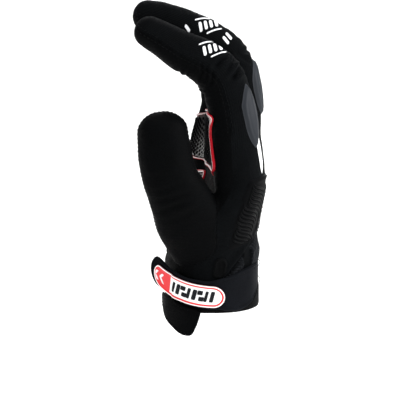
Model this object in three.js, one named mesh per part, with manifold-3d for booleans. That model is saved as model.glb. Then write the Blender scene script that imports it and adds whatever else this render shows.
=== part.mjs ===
// A mechanic's work glove for the right hand, upright, with the fingers curled forward over the palm.
// Millimetres. The origin is the middle of the wrist opening and +Z runs up the hand.
// +X is the back of the hand, -X the palm, -Y the thumb side and +Y the little finger's side.
import * as THREE from "three";
import { mergeVertices } from "three/addons/utils/BufferGeometryUtils.js";
import Module from "manifold-3d";

const wasm = await Module();
wasm.setup();

// Driving sizes
const WALL = 1.8; // sewn cloth and palm leather together
const GAP = 0.35; // clearance between pieces that touch
const STALL_GAP = 0.6; // clearance along the seams at the finger roots
const BINDING_HEIGHT = 3.2; // tape around the wrist opening
const BINDING_THICK = 2.4;
const GUARD_THICK = 1.8;
const FLASH_THICK = 1.2;
const PAD_THICK = 1.0;
const PIPING_THICK = 1.5;
const PIPING_WIDTH = 1.8;
const RIB_PANEL_THICK = 0.9;
const STRAP_THICK = 2.4;
const BADGE_THICK = 1.2;
const FLAP_THICK = 1.8;
const SNUG = 0.55; // how far a band's inner side stands off the wrist's rounded outline
const WRIST = { x: 0.2, thick: 58, broad: 70, square: 2.3 }; // the wrist's section, the same all the way up
const WRIST_FOOT = -16.5; // where the hand's form starts, under the opening
const WRIST_HEIGHTS = [WRIST_FOOT, 3.5, 23.5];

// Sections of the hand, wrist to finger roots. lean moves the little finger's side towards the palm and
// bow pulls both sides towards the palm; square is the exponent of the section's rounded outline.
const HAND_ROWS = [
  ...WRIST_HEIGHTS.map((z) => ({ ...WRIST, y: 0, z, lean: 0, bow: 0 })),
  { x: 1, y: 0, z: 37.5, thick: 55, broad: 75, square: 2.3, lean: -1, bow: 0 },
  { x: 5, y: 0, z: 51.5, thick: 47, broad: 82, square: 2.4, lean: -3, bow: -1 },
  { x: 10.8, y: 0, z: 65.5, thick: 38.5, broad: 86, square: 2.5, lean: -5, bow: -2 },
  { x: 15, y: 0, z: 78.5, thick: 31.5, broad: 87, square: 2.6, lean: -8, bow: -4 },
  { x: 15.5, y: 0, z: 89.5, thick: 29.5, broad: 87, square: 2.6, lean: -8, bow: -4.5 },
  { x: 15.3, y: 0, z: 102, thick: 28, broad: 85, square: 2.6, lean: -7, bow: -4 },
];

// Sections of each finger and the thumb, root to the start of the rounded tip.
const FINGER_ROWS = {
  index: [
    { x: 15, y: -27, z: 60, thick: 18, broad: 18 },
    { x: 15, y: -31, z: 79.5, thick: 27, broad: 22 },
    { x: 14.5, y: -32, z: 97.5, thick: 28, broad: 22.4 },
    { x: 13, y: -33, z: 115.5, thick: 28, broad: 22.4 },
    { x: 10.5, y: -33.5, z: 129.5, thick: 27.5, broad: 22.2 },
    { x: 5.3, y: -34, z: 143.5, thick: 27.5, broad: 22 },
    { x: -5.4, y: -34, z: 152.6, thick: 26, broad: 21.6 },
    { x: -18.6, y: -34, z: 159.2, thick: 24, broad: 21.2 },
    { x: -28.5, y: -34, z: 165.4, thick: 21, broad: 20.4 },
    { x: -37, y: -34, z: 170, thick: 19, broad: 19.4 },
  ],
  middle: [
    { x: 15.5, y: -10, z: 79.5, thick: 24, broad: 21 },
    { x: 16.5, y: -10.3, z: 101.5, thick: 27.5, broad: 21.4 },
    { x: 16.8, y: -10.6, z: 121.5, thick: 27, broad: 21.4 },
    { x: 14.9, y: -11, z: 139, thick: 26.5, broad: 21.4 },
    { x: 9.9, y: -11, z: 153.2, thick: 26.5, broad: 21.2 },
    { x: -1.8, y: -11, z: 163.4, thick: 25, broad: 20.8 },
    { x: -18, y: -11, z: 171.8, thick: 23, broad: 20.4 },
    { x: -29.8, y: -11, z: 176.4, thick: 21, broad: 20 },
    { x: -38.7, y: -11, z: 178.7, thick: 19.5, broad: 19 },
  ],
  ring: [
    { x: 10, y: 11, z: 62, thick: 18, broad: 18 },
    { x: 10, y: 11, z: 80, thick: 24, broad: 20 },
    { x: 10, y: 11.2, z: 101.5, thick: 26, broad: 20.6 },
    { x: 10, y: 11.4, z: 121.5, thick: 24.5, broad: 20.6 },
    { x: 9.5, y: 11.6, z: 138.5, thick: 22.5, broad: 20.4 },
    { x: 2.5, y: 11.8, z: 152.5, thick: 22.5, broad: 20 },
    { x: -11, y: 12, z: 161, thick: 21, broad: 19.6 },
    { x: -28, y: 12, z: 168.5, thick: 18.5, broad: 18.6 },
  ],
  little: [
    { x: 3, y: 29, z: 54, thick: 14, broad: 14 },
    { x: 0.5, y: 31, z: 74, thick: 22, broad: 18 },
    { x: 0, y: 32, z: 92, thick: 25, broad: 19 },
    { x: 2.5, y: 32.8, z: 109.5, thick: 23, broad: 19 },
    { x: 4.5, y: 33.6, z: 123.5, thick: 20.5, broad: 18.6 },
    { x: 1, y: 34.4, z: 136, thick: 19.5, broad: 18 },
    { x: -10, y: 35, z: 147.5, thick: 17.5, broad: 17 },
  ],
  thumb: [
    { x: 3, y: -14, z: 22, thick: 20, broad: 26 },
    { x: -4, y: -23.5, z: 41, thick: 30, broad: 43 },
    { x: -12.5, y: -31, z: 55.5, thick: 28, broad: 42 },
    { x: -18.5, y: -36.5, z: 69.5, thick: 26, broad: 37 },
    { x: -24.5, y: -40, z: 83.5, thick: 25, broad: 33 },
    { x: -27.5, y: -42, z: 96.5, thick: 24, broad: 32 },
    { x: -29, y: -43, z: 111.5, thick: 22.5, broad: 30 },
  ],
};

const ALONG_Y = new THREE.Vector3(0, 1, 0);
const ALONG_X = new THREE.Vector3(1, 0, 0.25);
// sides and rings say how finely a form is faceted, and tip is the length of its rounded end.
const LOFTS = {
  hand: { rows: HAND_ROWS, side: ALONG_Y, sides: 32, rings: 15, tip: 10, level: true },
  index: { rows: FINGER_ROWS.index, side: ALONG_Y, sides: 14, rings: 12, tip: 9 },
  middle: { rows: FINGER_ROWS.middle, side: ALONG_Y, sides: 14, rings: 12, tip: 9 },
  ring: { rows: FINGER_ROWS.ring, side: ALONG_Y, sides: 14, rings: 10, tip: 9 },
  little: { rows: FINGER_ROWS.little, side: ALONG_Y, sides: 14, rings: 9, tip: 8 },
  thumb: { rows: FINGER_ROWS.thumb, side: ALONG_X, sides: 16, rings: 11, tip: 12 },
};
const FINGER_SQUARE = 2.2; // exponent of the fingers' rounded outline
const DOME_RINGS = 3; // rings of each rounded tip
const DOME_FLAT = 0.45; // how early the dome's last ring stops, in steps
const FINGERS = ["index", "middle", "ring", "little"];

// A closed BufferGeometry as a solid that can be joined and cut.
function solidOf(geometry) {
  const bare = geometry.clone();
  bare.deleteAttribute("normal");
  bare.deleteAttribute("uv");
  const merged = mergeVertices(bare, 1e-4);
  return new wasm.Manifold(
    new wasm.Mesh({
      numProp: 3,
      vertProperties: merged.attributes.position.array,
      triVerts: new Uint32Array(merged.index.array),
    }),
  );
}

// A solid as a BufferGeometry with flat faces.
function geometryOf(solid) {
  const mesh = solid.getMesh();
  const geometry = new THREE.BufferGeometry();
  geometry.setAttribute("position", new THREE.BufferAttribute(new Float32Array(mesh.vertProperties), 3));
  geometry.setIndex(new THREE.BufferAttribute(new Uint32Array(mesh.triVerts), 1));
  const flat = geometry.toNonIndexed();
  flat.computeVertexNormals();
  return flat;
}

// A point of a rounded outline: x and y half-sizes, an angle, and the outline's exponent.
function roundedPoint(halfX, halfY, angle, square) {
  const power = 2 / square;
  const c = Math.cos(angle);
  const s = Math.sin(angle);
  return [
    halfX * Math.sign(c) * Math.abs(c) ** power,
    halfY * Math.sign(s) * Math.abs(s) ** power,
  ];
}

// A table's rows as smooth curves of centres, of sizes and of bends.
function curvesOf(rows) {
  const centres = rows.map((row) => new THREE.Vector3(row.x, row.y, row.z));
  const sizes = rows.map((row) => new THREE.Vector3(row.thick, row.broad, row.square ?? FINGER_SQUARE));
  const bends = rows.map((row) => new THREE.Vector3(row.lean ?? 0, row.bow ?? 0, 0));
  return {
    centre: new THREE.CatmullRomCurve3(centres, false, "centripetal"),
    size: new THREE.CatmullRomCurve3(sizes, false, "centripetal"),
    bend: new THREE.CatmullRomCurve3(bends, false, "centripetal"),
  };
}

// One ring of a loft at t, from 0 at the root to 1 at the last row, larger all round by grow. Past the
// last row the ring moves on by ahead and shrinks to a share of its size.
function ringAt(loft, curves, t, grow, ahead = 0, share = 1) {
  const along = loft.level ? new THREE.Vector3(0, 0, 1) : curves.centre.getTangent(t);
  const centre = curves.centre.getPoint(t).addScaledVector(along, ahead);
  const size = curves.size.getPoint(t);
  const bend = curves.bend.getPoint(t);
  const side = loft.side.clone().addScaledVector(along, -loft.side.dot(along)).normalize();
  const back = side.clone().cross(along);
  const halfThick = (size.x / 2 + grow) * share;
  const halfBroad = (size.y / 2 + grow) * share;
  return Array.from({ length: loft.sides }, (_, i) => {
    const [p, q] = roundedPoint(halfThick, halfBroad, (i / loft.sides) * 2 * Math.PI, size.z);
    const across = (2 * q) / size.y;
    const shift = bend.x * across + bend.y * across * across;
    return centre.clone().addScaledVector(back, p + shift).addScaledVector(side, q);
  });
}

// A tube of rings as a closed geometry, with a fan of triangles on each end.
function tubeGeometry(rings) {
  const sides = rings[0].length;
  const centreOf = (ring) => ring.reduce((sum, p) => sum.add(p), new THREE.Vector3()).divideScalar(sides);
  const points = [...rings.flat(), centreOf(rings[0]), centreOf(rings[rings.length - 1])];
  const foot = rings.length * sides;
  const head = foot + 1;
  const top = foot - sides;
  const faces = [];
  for (let j = 0; j < sides; j++) {
    const next = (j + 1) % sides;
    for (let i = 0; i < rings.length - 1; i++) {
      const [a, b] = [i * sides + j, i * sides + next];
      faces.push(a, b, b + sides, a, b + sides, a + sides);
    }
    faces.push(foot, next, j, head, top + j, top + next);
  }
  const geometry = new THREE.BufferGeometry().setFromPoints(points);
  geometry.setIndex(faces);
  return geometry;
}

// A finger, the thumb or the hand as a solid, larger all round by grow, with a dome past its last row.
function loftSolid(name, grow) {
  const loft = LOFTS[name];
  const curves = curvesOf(loft.rows);
  const rings = [];
  for (let i = 0; i < loft.rings; i++) rings.push(ringAt(loft, curves, i / (loft.rings - 1), grow));
  for (let i = 1; i <= DOME_RINGS; i++) {
    const angle = (i / (DOME_RINGS + DOME_FLAT)) * (Math.PI / 2);
    rings.push(ringAt(loft, curves, 1, grow, (loft.tip + grow) * Math.sin(angle), Math.cos(angle)));
  }
  return solidOf(tubeGeometry(rings));
}

// The glove's form without the thumb, larger all round by grow.
const forms = new Map();
function fingersForm(grow) {
  if (!forms.has(grow)) {
    const solids = ["hand", ...FINGERS].map((name) => loftSolid(name, grow));
    forms.set(grow, wasm.Manifold.union(solids));
  }
  return forms.get(grow);
}

// A box between two corners.
function boxSolid(low, high) {
  const [w, d, h] = high.map((v, i) => v - low[i]);
  const geometry = new THREE.BoxGeometry(w, d, h);
  geometry.translate((low[0] + high[0]) / 2, (low[1] + high[1]) / 2, (low[2] + high[2]) / 2);
  return solidOf(geometry);
}

const FAR = 200; // further out than anything reaches
const ABOVE_BINDING = boxSolid([-FAR, -FAR, BINDING_HEIGHT + GAP], [FAR, FAR, 2 * FAR]);
const BINDING_SLAB = boxSolid([-FAR, -FAR, 0], [FAR, FAR, BINDING_HEIGHT]);

// The hand's hollow body, open at the wrist and into each finger and the thumb.
function handBody() {
  const outer = loftSolid("hand", 0).intersect(ABOVE_BINDING);
  const hollows = ["hand", ...FINGERS, "thumb"].map((name) => loftSolid(name, -WALL));
  return outer.subtract(wasm.Manifold.union(hollows));
}

// A finger's or the thumb's hollow stall, closed at the tip, that starts at the hand's surface.
function stall(name) {
  const outer = loftSolid(name, 0).subtract(loftSolid("hand", STALL_GAP));
  const inner = loftSolid(name, -WALL);
  return outer.subtract(inner);
}

// A layer over the hand and fingers, thick as given, clear of them and of the thumb.
function layer(thick) {
  const skin = fingersForm(GAP + thick).subtract(fingersForm(GAP));
  return skin.subtract(loftSolid("thumb", GAP + thick));
}

// A prism with an outline drawn in a plane that faces away from the glove. turn is the way it faces, in
// degrees from the back of the hand towards the thumb side, tilt is how far it faces up, and centre is
// where the outline's own origin lies.
const REACH = 60;
function facingPrism(shape, { turn, tilt = 0, roll = 0, centre }) {
  const geometry = new THREE.ExtrudeGeometry(shape, { depth: REACH, bevelEnabled: false, curveSegments: 4 });
  const [turned, tilted] = [turn, tilt].map(THREE.MathUtils.degToRad);
  const level = new THREE.Vector3(Math.cos(turned), -Math.sin(turned), 0);
  const out = level.multiplyScalar(Math.cos(tilted)).setZ(Math.sin(tilted));
  const across = new THREE.Vector3(0, 0, 1).cross(out).normalize();
  const up = out.clone().cross(across);
  geometry.rotateZ(THREE.MathUtils.degToRad(roll));
  geometry.applyMatrix4(new THREE.Matrix4().makeBasis(across, up, out));
  geometry.translate(centre[0], centre[1], centre[2]);
  return solidOf(geometry);
}

// The biggest body of a solid, which drops slivers that a cut leaves.
function largest(solid) {
  const bodies = solid.decompose();
  return bodies.reduce((best, body) => (body.volume() > best.volume() ? body : best));
}

// A pointed leaf: length up, width across, with the widest place at a share of its length.
const LEAF_FULLNESS = { low: 0.25, high: 0.6 }; // where its curves' handles lie, below and above
function leafShape(length, width, widest) {
  const low = -length / 2;
  const middle = low + length * widest;
  const lowPull = THREE.MathUtils.lerp(low, middle, LEAF_FULLNESS.low);
  const highPull = THREE.MathUtils.lerp(middle, length / 2, LEAF_FULLNESS.high);
  const shape = new THREE.Shape();
  shape.moveTo(0, low);
  shape.quadraticCurveTo(width / 2, lowPull, width / 2, middle);
  shape.quadraticCurveTo(width / 2, highPull, 0, length / 2);
  shape.quadraticCurveTo(-width / 2, highPull, -width / 2, middle);
  shape.quadraticCurveTo(-width / 2, lowPull, 0, low);
  return shape;
}

// A closed outline through corners, each rounded by a curve that starts a share of the way along its two
// sides. In a corner, side is how far to the right it lies, seen from outside the glove, and up how high.
// grow moves every corner away from the outline's middle.
function roundedOutline(corners, share, grow = 0) {
  const places = corners.map(({ side, up }) => new THREE.Vector2(side, up));
  const middle = places.reduce((sum, place) => sum.add(place), new THREE.Vector2());
  middle.divideScalar(places.length);
  const points = places.map((place) => {
    const away = place.clone().sub(middle).normalize();
    return place.clone().addScaledVector(away, grow);
  });
  const shape = new THREE.Shape();
  points.forEach((corner, i) => {
    const before = points[(i + points.length - 1) % points.length];
    const after = points[(i + 1) % points.length];
    const enter = corner.clone().lerp(before, share);
    const leave = corner.clone().lerp(after, share);
    if (i === 0) shape.moveTo(enter.x, enter.y);
    else shape.lineTo(enter.x, enter.y);
    shape.quadraticCurveTo(corner.x, corner.y, leave.x, leave.y);
  });
  shape.closePath();
  return shape;
}

// Knuckle guards over the base of each finger. The flash is the pale tip that continues a guard's lower
// end: it has its own facing and centre.
const GUARDS = {
  index: {
    leaf: { turn: 18, tilt: 6, roll: 5, centre: [12.5, -35, 119.5], length: 40, width: 12 },
    flash: { turn: 20, tilt: 0, roll: 4, centre: [15, -28.4, 94.6], length: 23, width: 4 },
  },
  middle: {
    leaf: { turn: 5, tilt: 14, roll: 0, centre: [13, -10.5, 134], length: 39, width: 14 },
    flash: { turn: 0, tilt: 0, roll: 0, centre: [15, -10, 98.5], length: 24, width: 4.2 },
  },
  ring: {
    leaf: { turn: 0, tilt: 12, roll: 0, centre: [6, 11.3, 119.5], length: 38, width: 13.5 },
    flash: { turn: -4, tilt: 0, roll: 0, centre: [12, 11, 92], length: 22, width: 4 },
  },
  little: {
    leaf: { turn: -30, tilt: 8, roll: 4, centre: [2, 32.5, 105.5], length: 33, width: 12.5 },
    flash: { turn: -14, tilt: 0, roll: -4, centre: [5, 29, 80.5], length: 19, width: 3.8 },
  },
};
const LEAF_WIDEST = 0.58; // where a guard is widest, as a share of its length from below
const FLASH_WIDEST = 0.72;

function leafPiece(thick, widest, { length, width, ...facing }) {
  return largest(layer(thick).intersect(facingPrism(leafShape(length, width, widest), facing)));
}

// The ribbed panel over the back of the hand, from the knuckles to the wrist.
const RIB_PANEL = {
  corners: [
    { side: -37.5, up: 82 },
    { side: -38.5, up: 66 },
    { side: -38, up: 50 },
    { side: -36, up: 37.5 },
    { side: -22, up: 42 },
    { side: 0, up: 47 },
    { side: 24, up: 42 },
    { side: 35, up: 38.5 },
    { side: 37, up: 58 },
    { side: 33, up: 68 },
    { side: 12, up: 79 },
    { side: -8, up: 84 },
    { side: -30, up: 83 },
  ],
  facing: { turn: 10, centre: [13, 0, 0] },
};

// Grip pads on the palm: one across the finger roots and one on the heel of the hand.
const PADS = {
  upper: [
    { side: -37, up: 93 },
    { side: -38, up: 110.5 },
    { side: -12, up: 119 },
    { side: 12, up: 118 },
    { side: 36.5, up: 111 },
    { side: 35.5, up: 88 },
    { side: 17, up: 87.5 },
    { side: -14, up: 92 },
  ],
  heel: [
    { side: -34, up: 36 },
    { side: -38, up: 60 },
    { side: -33, up: 74 },
    { side: -12, up: 71 },
    { side: 6, up: 69 },
    { side: 0, up: 55 },
    { side: -10, up: 38 },
  ],
};
const PALM_FACING = { turn: 180, centre: [12, 0, 0] };
const PAD_ROUNDING = 0.22;
const PANEL_ROUNDING = 0.3;
const PIPING_CLEARANCE = GAP + 0.1;

function palmPad(corners) {
  const prism = facingPrism(roundedOutline(corners, PAD_ROUNDING), PALM_FACING);
  return largest(layer(PAD_THICK).intersect(prism));
}

function padPiping(corners) {
  const inside = facingPrism(roundedOutline(corners, PAD_ROUNDING, PIPING_CLEARANCE), PALM_FACING);
  const outside = facingPrism(roundedOutline(corners, PAD_ROUNDING, GAP + PIPING_WIDTH), PALM_FACING);
  return largest(layer(PIPING_THICK).intersect(outside.subtract(inside)));
}

// Bands that follow the wrist. A station is an angle around the wrist, from the back (0) towards the
// thumb side (90) and the palm (180), or a place on a straight tail past the last angle, and the band's
// lower and upper edge there.
function wristPoint(degrees) {
  const angle = THREE.MathUtils.degToRad(-degrees);
  const [x, y] = roundedPoint(WRIST.thick / 2, WRIST.broad / 2, angle, WRIST.square);
  return new THREE.Vector3(WRIST.x + x, y, 0);
}

// A band between two offsets from the wrist, through its stations. Stations past the wrist lie on the
// strap's free end.
function band(stations, inner, outer) {
  const places = stations.map(({ angle, past }) => wristPoint(angle).addScaledVector(TAIL_DIRECTION, past));
  const curve = new THREE.CatmullRomCurve3(places, false, "centripetal");
  const last = stations.length - 1;
  const rings = stations.map(({ low, high }, i) => {
    const along = curve.getTangent(i / last);
    const out = new THREE.Vector3(-along.y, along.x, 0).normalize();
    if (out.dot(places[i]) < 0) out.negate();
    const corner = (offset, z) => places[i].clone().addScaledVector(out, offset).setZ(z);
    return [corner(inner, low), corner(outer, low), corner(outer, high), corner(inner, high)];
  });
  return solidOf(tubeGeometry(rings));
}

// Stations between two angles of a table, read off at even steps.
function stationsOf(rows, count) {
  const edges = new THREE.CatmullRomCurve3(
    rows.map(({ at, low, high }) => new THREE.Vector3(at, low, high)),
    false,
    "centripetal",
  );
  return Array.from({ length: count }, (_, i) => edges.getPoint(i / (count - 1)));
}

// The wrist strap: at is an angle around the wrist, and past TAIL_START it is TAIL_START plus the
// millimetres of the free end.
const TAIL_START = 135;
const TAIL_DIRECTION = new THREE.Vector3(-0.82, 0.57, 0).normalize();
const STRAP_ROWS = [
  { at: -23.7, low: 19.1, high: 20.9 },
  { at: -23.4, low: 16.1, high: 24.0 },
  { at: -22.5, low: 13.8, high: 26.3 },
  { at: -21.4, low: 13.0, high: 27.1 },
  { at: -9.7, low: 13.0, high: 27.6 },
  { at: 0, low: 13.0, high: 28.0 },
  { at: 9.6, low: 12.2, high: 28.1 },
  { at: 21.3, low: 10.0, high: 28.2 },
  { at: 34.2, low: 4.4, high: 28.0 },
  { at: 48, low: 1.5, high: 27.2 },
  { at: 62, low: 1.1, high: 25.1 },
  { at: 76, low: 1.7, high: 22.4 },
  { at: 88.3, low: 2.9, high: 20.7 },
  { at: 99.4, low: 3.6, high: 20.5 },
  { at: 112.9, low: 4.7, high: 21.5 },
  { at: 126.9, low: 6.8, high: 23.4 },
  { at: 138.3, low: 9.2, high: 26.2 },
  { at: 145.9, low: 13.6, high: 31.7 },
  { at: 148.3, low: 15.9, high: 31.7 },
  { at: 150.3, low: 19.5, high: 29.2 },
  { at: 151.2, low: 23.6, high: 25.6 },
];
const BADGE_ROWS = [
  { at: 78.1, low: 9.7, high: 11.3 },
  { at: 79.8, low: 7.0, high: 14.1 },
  { at: 83.4, low: 4.9, high: 16.4 },
  { at: 87.5, low: 4.3, high: 17.3 },
  { at: 95.1, low: 4.5, high: 17.9 },
  { at: 104.2, low: 5.2, high: 18.7 },
  { at: 113.9, low: 6.3, high: 19.8 },
  { at: 123.8, low: 7.6, high: 21.2 },
  { at: 133.8, low: 9.0, high: 22.9 },
  { at: 139.2, low: 11.2, high: 24.8 },
  { at: 145.1, low: 14.3, high: 27.7 },
  { at: 147.4, low: 16.2, high: 27.9 },
  { at: 149.2, low: 19.2, high: 26.4 },
  { at: 150, low: 22.3, high: 23.9 },
];
const FLAP_ROWS = [
  { at: 99, low: -3.5, high: -1.5 },
  { at: 101, low: -6.5, high: -0.8 },
  { at: 106, low: -9.8, high: 0.2 },
  { at: 112, low: -12.8, high: 0.8 },
  { at: 119, low: -12.6, high: 1.8 },
  { at: 128, low: -10.8, high: 4 },
  { at: 140, low: -7, high: 7 },
  { at: 152, low: -1.6, high: 7.6 },
  { at: 166, low: 4.6, high: 8 },
];
const BAND_STATIONS = 44;
const FLAP_STATIONS = 18;

// A band's solid from its table. Where tailStart is given, at counts millimetres of the tail past it.
function bandPiece(rows, count, inner, thick, tailStart = Infinity) {
  const stations = stationsOf(rows, count).map(({ x, y, z }) => ({
    angle: Math.min(x, tailStart),
    past: Math.max(0, x - tailStart),
    low: y,
    high: z,
  }));
  return band(stations, inner, inner + thick);
}

function cuffBinding() {
  const ring = loftSolid("hand", 0).subtract(loftSolid("hand", -BINDING_THICK));
  return ring.intersect(BINDING_SLAB);
}

// The small loop sewn in the seam above the strap.
const SEAM_TAB = {
  corners: [
    { side: -4, up: -5.5 },
    { side: 4, up: -5.5 },
    { side: 4, up: 5.5 },
    { side: -4, up: 5.5 },
  ],
  facing: { turn: 82, roll: -8, centre: [0.5, 0, 31.5] },
  thick: 1.3,
  rounding: 0.25,
};

function seamTab() {
  const prism = facingPrism(roundedOutline(SEAM_TAB.corners, SEAM_TAB.rounding), SEAM_TAB.facing);
  return largest(layer(SEAM_TAB.thick).intersect(prism));
}

const group = new THREE.Group();
const STRETCH_CLOTH = { color: 0x101214, roughness: 0.85, metalness: 0 };
const PALM_LEATHER = { color: 0x141414, roughness: 0.7, metalness: 0 };
const STRAP_CLOTH = { color: 0x191b1f, roughness: 0.8, metalness: 0 };
const GREY_RUBBER = { color: 0x45474a, roughness: 0.55, metalness: 0 };
const BLACK_RUBBER = { color: 0x141517, roughness: 0.5, metalness: 0 };
const WHITE_RUBBER = { color: 0xe8eae8, roughness: 0.5, metalness: 0 };
const BADGE_RUBBER = { color: 0xf4f4f2, roughness: 0.4, metalness: 0 };
const CARBON_GRIP = { color: 0x2c2c2e, roughness: 0.4, metalness: 0 };
const RED_PIPING = { color: 0xb01030, roughness: 0.4, metalness: 0 };

function addPiece(name, solid, look) {
  const mesh = new THREE.Mesh(geometryOf(solid), new THREE.MeshStandardMaterial(look));
  mesh.name = name;
  group.add(mesh);
}

addPiece("hand_body", handBody(), STRETCH_CLOTH);
for (const name of FINGERS) addPiece(`${name}_stall`, largest(stall(name)), STRETCH_CLOTH);
addPiece("thumb_stall", largest(stall("thumb")), PALM_LEATHER);
for (const [name, { leaf, flash }] of Object.entries(GUARDS)) {
  const tip = leafPiece(FLASH_THICK, FLASH_WIDEST, flash);
  const guard = leafPiece(GUARD_THICK, LEAF_WIDEST, leaf);
  addPiece(`knuckle_guard_${name}`, guard, GREY_RUBBER);
  addPiece(`guard_tip_${name}`, tip, WHITE_RUBBER);
}
const ribPrism = facingPrism(roundedOutline(RIB_PANEL.corners, PANEL_ROUNDING), RIB_PANEL.facing);
addPiece("rib_panel", largest(layer(RIB_PANEL_THICK).intersect(ribPrism)), BLACK_RUBBER);
for (const [name, corners] of Object.entries(PADS)) {
  addPiece(`palm_pad_${name}`, palmPad(corners), CARBON_GRIP);
  addPiece(`pad_piping_${name}`, padPiping(corners), RED_PIPING);
}
addPiece("cuff_binding", cuffBinding(), STRETCH_CLOTH);
const strap = bandPiece(STRAP_ROWS, BAND_STATIONS, SNUG, STRAP_THICK, TAIL_START);
addPiece("wrist_strap", strap, STRAP_CLOTH);
const badge = bandPiece(BADGE_ROWS, BAND_STATIONS, SNUG + STRAP_THICK + GAP, BADGE_THICK, TAIL_START);
addPiece("strap_badge", badge, BADGE_RUBBER);
addPiece("pull_flap", bandPiece(FLAP_ROWS, FLAP_STATIONS, SNUG, FLAP_THICK), PALM_LEATHER);
addPiece("seam_tab", seamTab(), STRAP_CLOTH);

export default group;
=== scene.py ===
"""A mechanic's work glove for the right hand, in black knit and synthetic leather, with rubber trim.

Tables and arrays are in millimetres and are turned into metres where a mesh is made. +Z runs up the hand,
+X is the back of the hand, -X the palm, -Y the thumb side and +Y the little finger's side. The origin is
the middle of the wrist opening.
"""
import logging
import math
from collections.abc import Callable, Sequence
from dataclasses import dataclass, field
from enum import Enum
from functools import cache
from typing import Protocol

import bpy
import numpy as np
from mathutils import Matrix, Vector
from mathutils import noise
from mathutils.bvhtree import BVHTree

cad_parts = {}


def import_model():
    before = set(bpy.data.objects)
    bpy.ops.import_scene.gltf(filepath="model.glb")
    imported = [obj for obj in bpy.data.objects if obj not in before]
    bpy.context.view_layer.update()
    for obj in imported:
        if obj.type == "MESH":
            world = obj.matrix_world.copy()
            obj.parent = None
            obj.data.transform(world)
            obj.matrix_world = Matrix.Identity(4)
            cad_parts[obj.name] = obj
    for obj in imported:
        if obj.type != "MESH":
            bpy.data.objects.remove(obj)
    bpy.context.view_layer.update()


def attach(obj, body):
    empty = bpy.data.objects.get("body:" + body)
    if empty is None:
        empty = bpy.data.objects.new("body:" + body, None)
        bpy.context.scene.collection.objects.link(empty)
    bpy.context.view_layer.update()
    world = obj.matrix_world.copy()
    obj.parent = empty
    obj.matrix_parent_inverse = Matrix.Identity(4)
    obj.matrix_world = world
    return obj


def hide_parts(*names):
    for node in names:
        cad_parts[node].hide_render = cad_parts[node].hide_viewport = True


MM = 0.001
CHUNK = 8000
BODY = "root"
UP = np.array([0.0, 0.0, 1.0])
log = logging.getLogger("glove")

Array = np.ndarray
Colour = tuple[float, float, float]
Piece = bpy.types.Object
Material = bpy.types.Material
Socket = bpy.types.NodeSocket


class Side(Enum):
    """The four ways that the glove is looked at, as the direction that each side faces."""

    BACK = (1.0, 0.0, 0.0)
    PALM = (-1.0, 0.0, 0.0)
    THUMB = (0.0, -1.0, 0.0)
    LITTLE = (0.0, 1.0, 0.0)

    def flat(self, points: Array) -> Array:
        """The points as seen from this side: how far along the level axis, and how high."""
        level = 1 if self in (Side.BACK, Side.PALM) else 0
        return points[:, [level, 2]]


class Zone(Enum):
    """The cloths of the sewn shell, in the order of its material slots."""

    KNIT = 0
    LEATHER = 1
    CUFF = 2
    LINING = 3


def unit(vectors: Array) -> Array:
    """The vectors at length one."""
    return vectors / np.maximum(np.linalg.norm(vectors, axis=-1, keepdims=True), 1e-9)


def smoothstep(low: float, high: float, values: Array) -> Array:
    """0 below low, 1 above high, and a smooth rise between them."""
    share = np.clip((values - low) / (high - low), 0.0, 1.0)
    return share * share * (3.0 - 2.0 * share)


def mound(values: Array, middle: float, wide: float, power: int = 2) -> Array:
    """1 at the middle, falling off on both sides of it to almost nothing at twice wide."""
    return np.exp(-(((values - middle) / wide) ** power))


def run_along(line: Array) -> Array:
    """How far along a line each of its points lies."""
    return np.concatenate([[0.0], np.cumsum(np.linalg.norm(np.diff(line, axis=0), axis=1))])


def read_off(at: Array, run: Array, rows: Array) -> Array:
    """Rows of numbers that are given at some runs, read off at others."""
    return np.stack([np.interp(at, run, column) for column in rows.T], axis=1)


def quad_edges(quads: Array) -> Array:
    """The four edges of each quad, as rows of two point numbers."""
    return np.vstack([quads[:, [k, (k + 1) % 4]] for k in range(4)])


def rounded(half_x: Array, half_y: Array, angle: Array, square: Array) -> tuple[Array, Array]:
    """Points of a rounded outline.

    Args:
        half_x: Half the outline's size along its first axis.
        half_y: Half its size along the second.
        angle: Where on the outline, in radians.
        square: The outline's exponent, 2 for an ellipse and more for a squarer one.

    Returns:
        The two coordinates.
    """
    c = np.cos(angle)
    s = np.sin(angle)
    power = 2.0 / square
    return half_x * np.sign(c) * np.abs(c) ** power, half_y * np.sign(s) * np.abs(s) ** power


def through(rows: Array, shares: Array) -> Array:
    """A smooth curve through rows of numbers, a centripetal Catmull-Rom spline.

    Args:
        rows: One row of numbers for each point that the curve passes.
        shares: Where to read it, from 0 at the first row to 1 at the last.

    Returns:
        One row of numbers for each share.
    """
    first = 2 * rows[0] - rows[1]
    last = 2 * rows[-1] - rows[-2]
    full = np.vstack([first, rows, last])
    place = np.clip(shares, 0, 1) * (len(rows) - 1)
    start = np.minimum(place.astype(int), len(rows) - 2)
    w = (place - start)[:, None]
    p0, p1, p2, p3 = (full[start + k] for k in range(4))
    steps = [np.linalg.norm(b - a, axis=1) ** 0.5 for a, b in ((p0, p1), (p1, p2), (p2, p3))]
    d1 = np.where(steps[1] < 1e-2, 1.0, steps[1])[:, None]
    d0 = np.where(steps[0] < 1e-2, d1[:, 0], steps[0])[:, None]
    d2 = np.where(steps[2] < 1e-2, d1[:, 0], steps[2])[:, None]
    t1 = ((p1 - p0) / d0 - (p2 - p0) / (d0 + d1) + (p2 - p1) / d1) * d1
    t2 = ((p2 - p1) / d1 - (p3 - p1) / (d1 + d2) + (p3 - p2) / d2) * d1
    return p1 + t1 * w + (3 * (p2 - p1) - 2 * t1 - t2) * w**2 + (2 * (p1 - p2) + t1 + t2) * w**3


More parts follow.
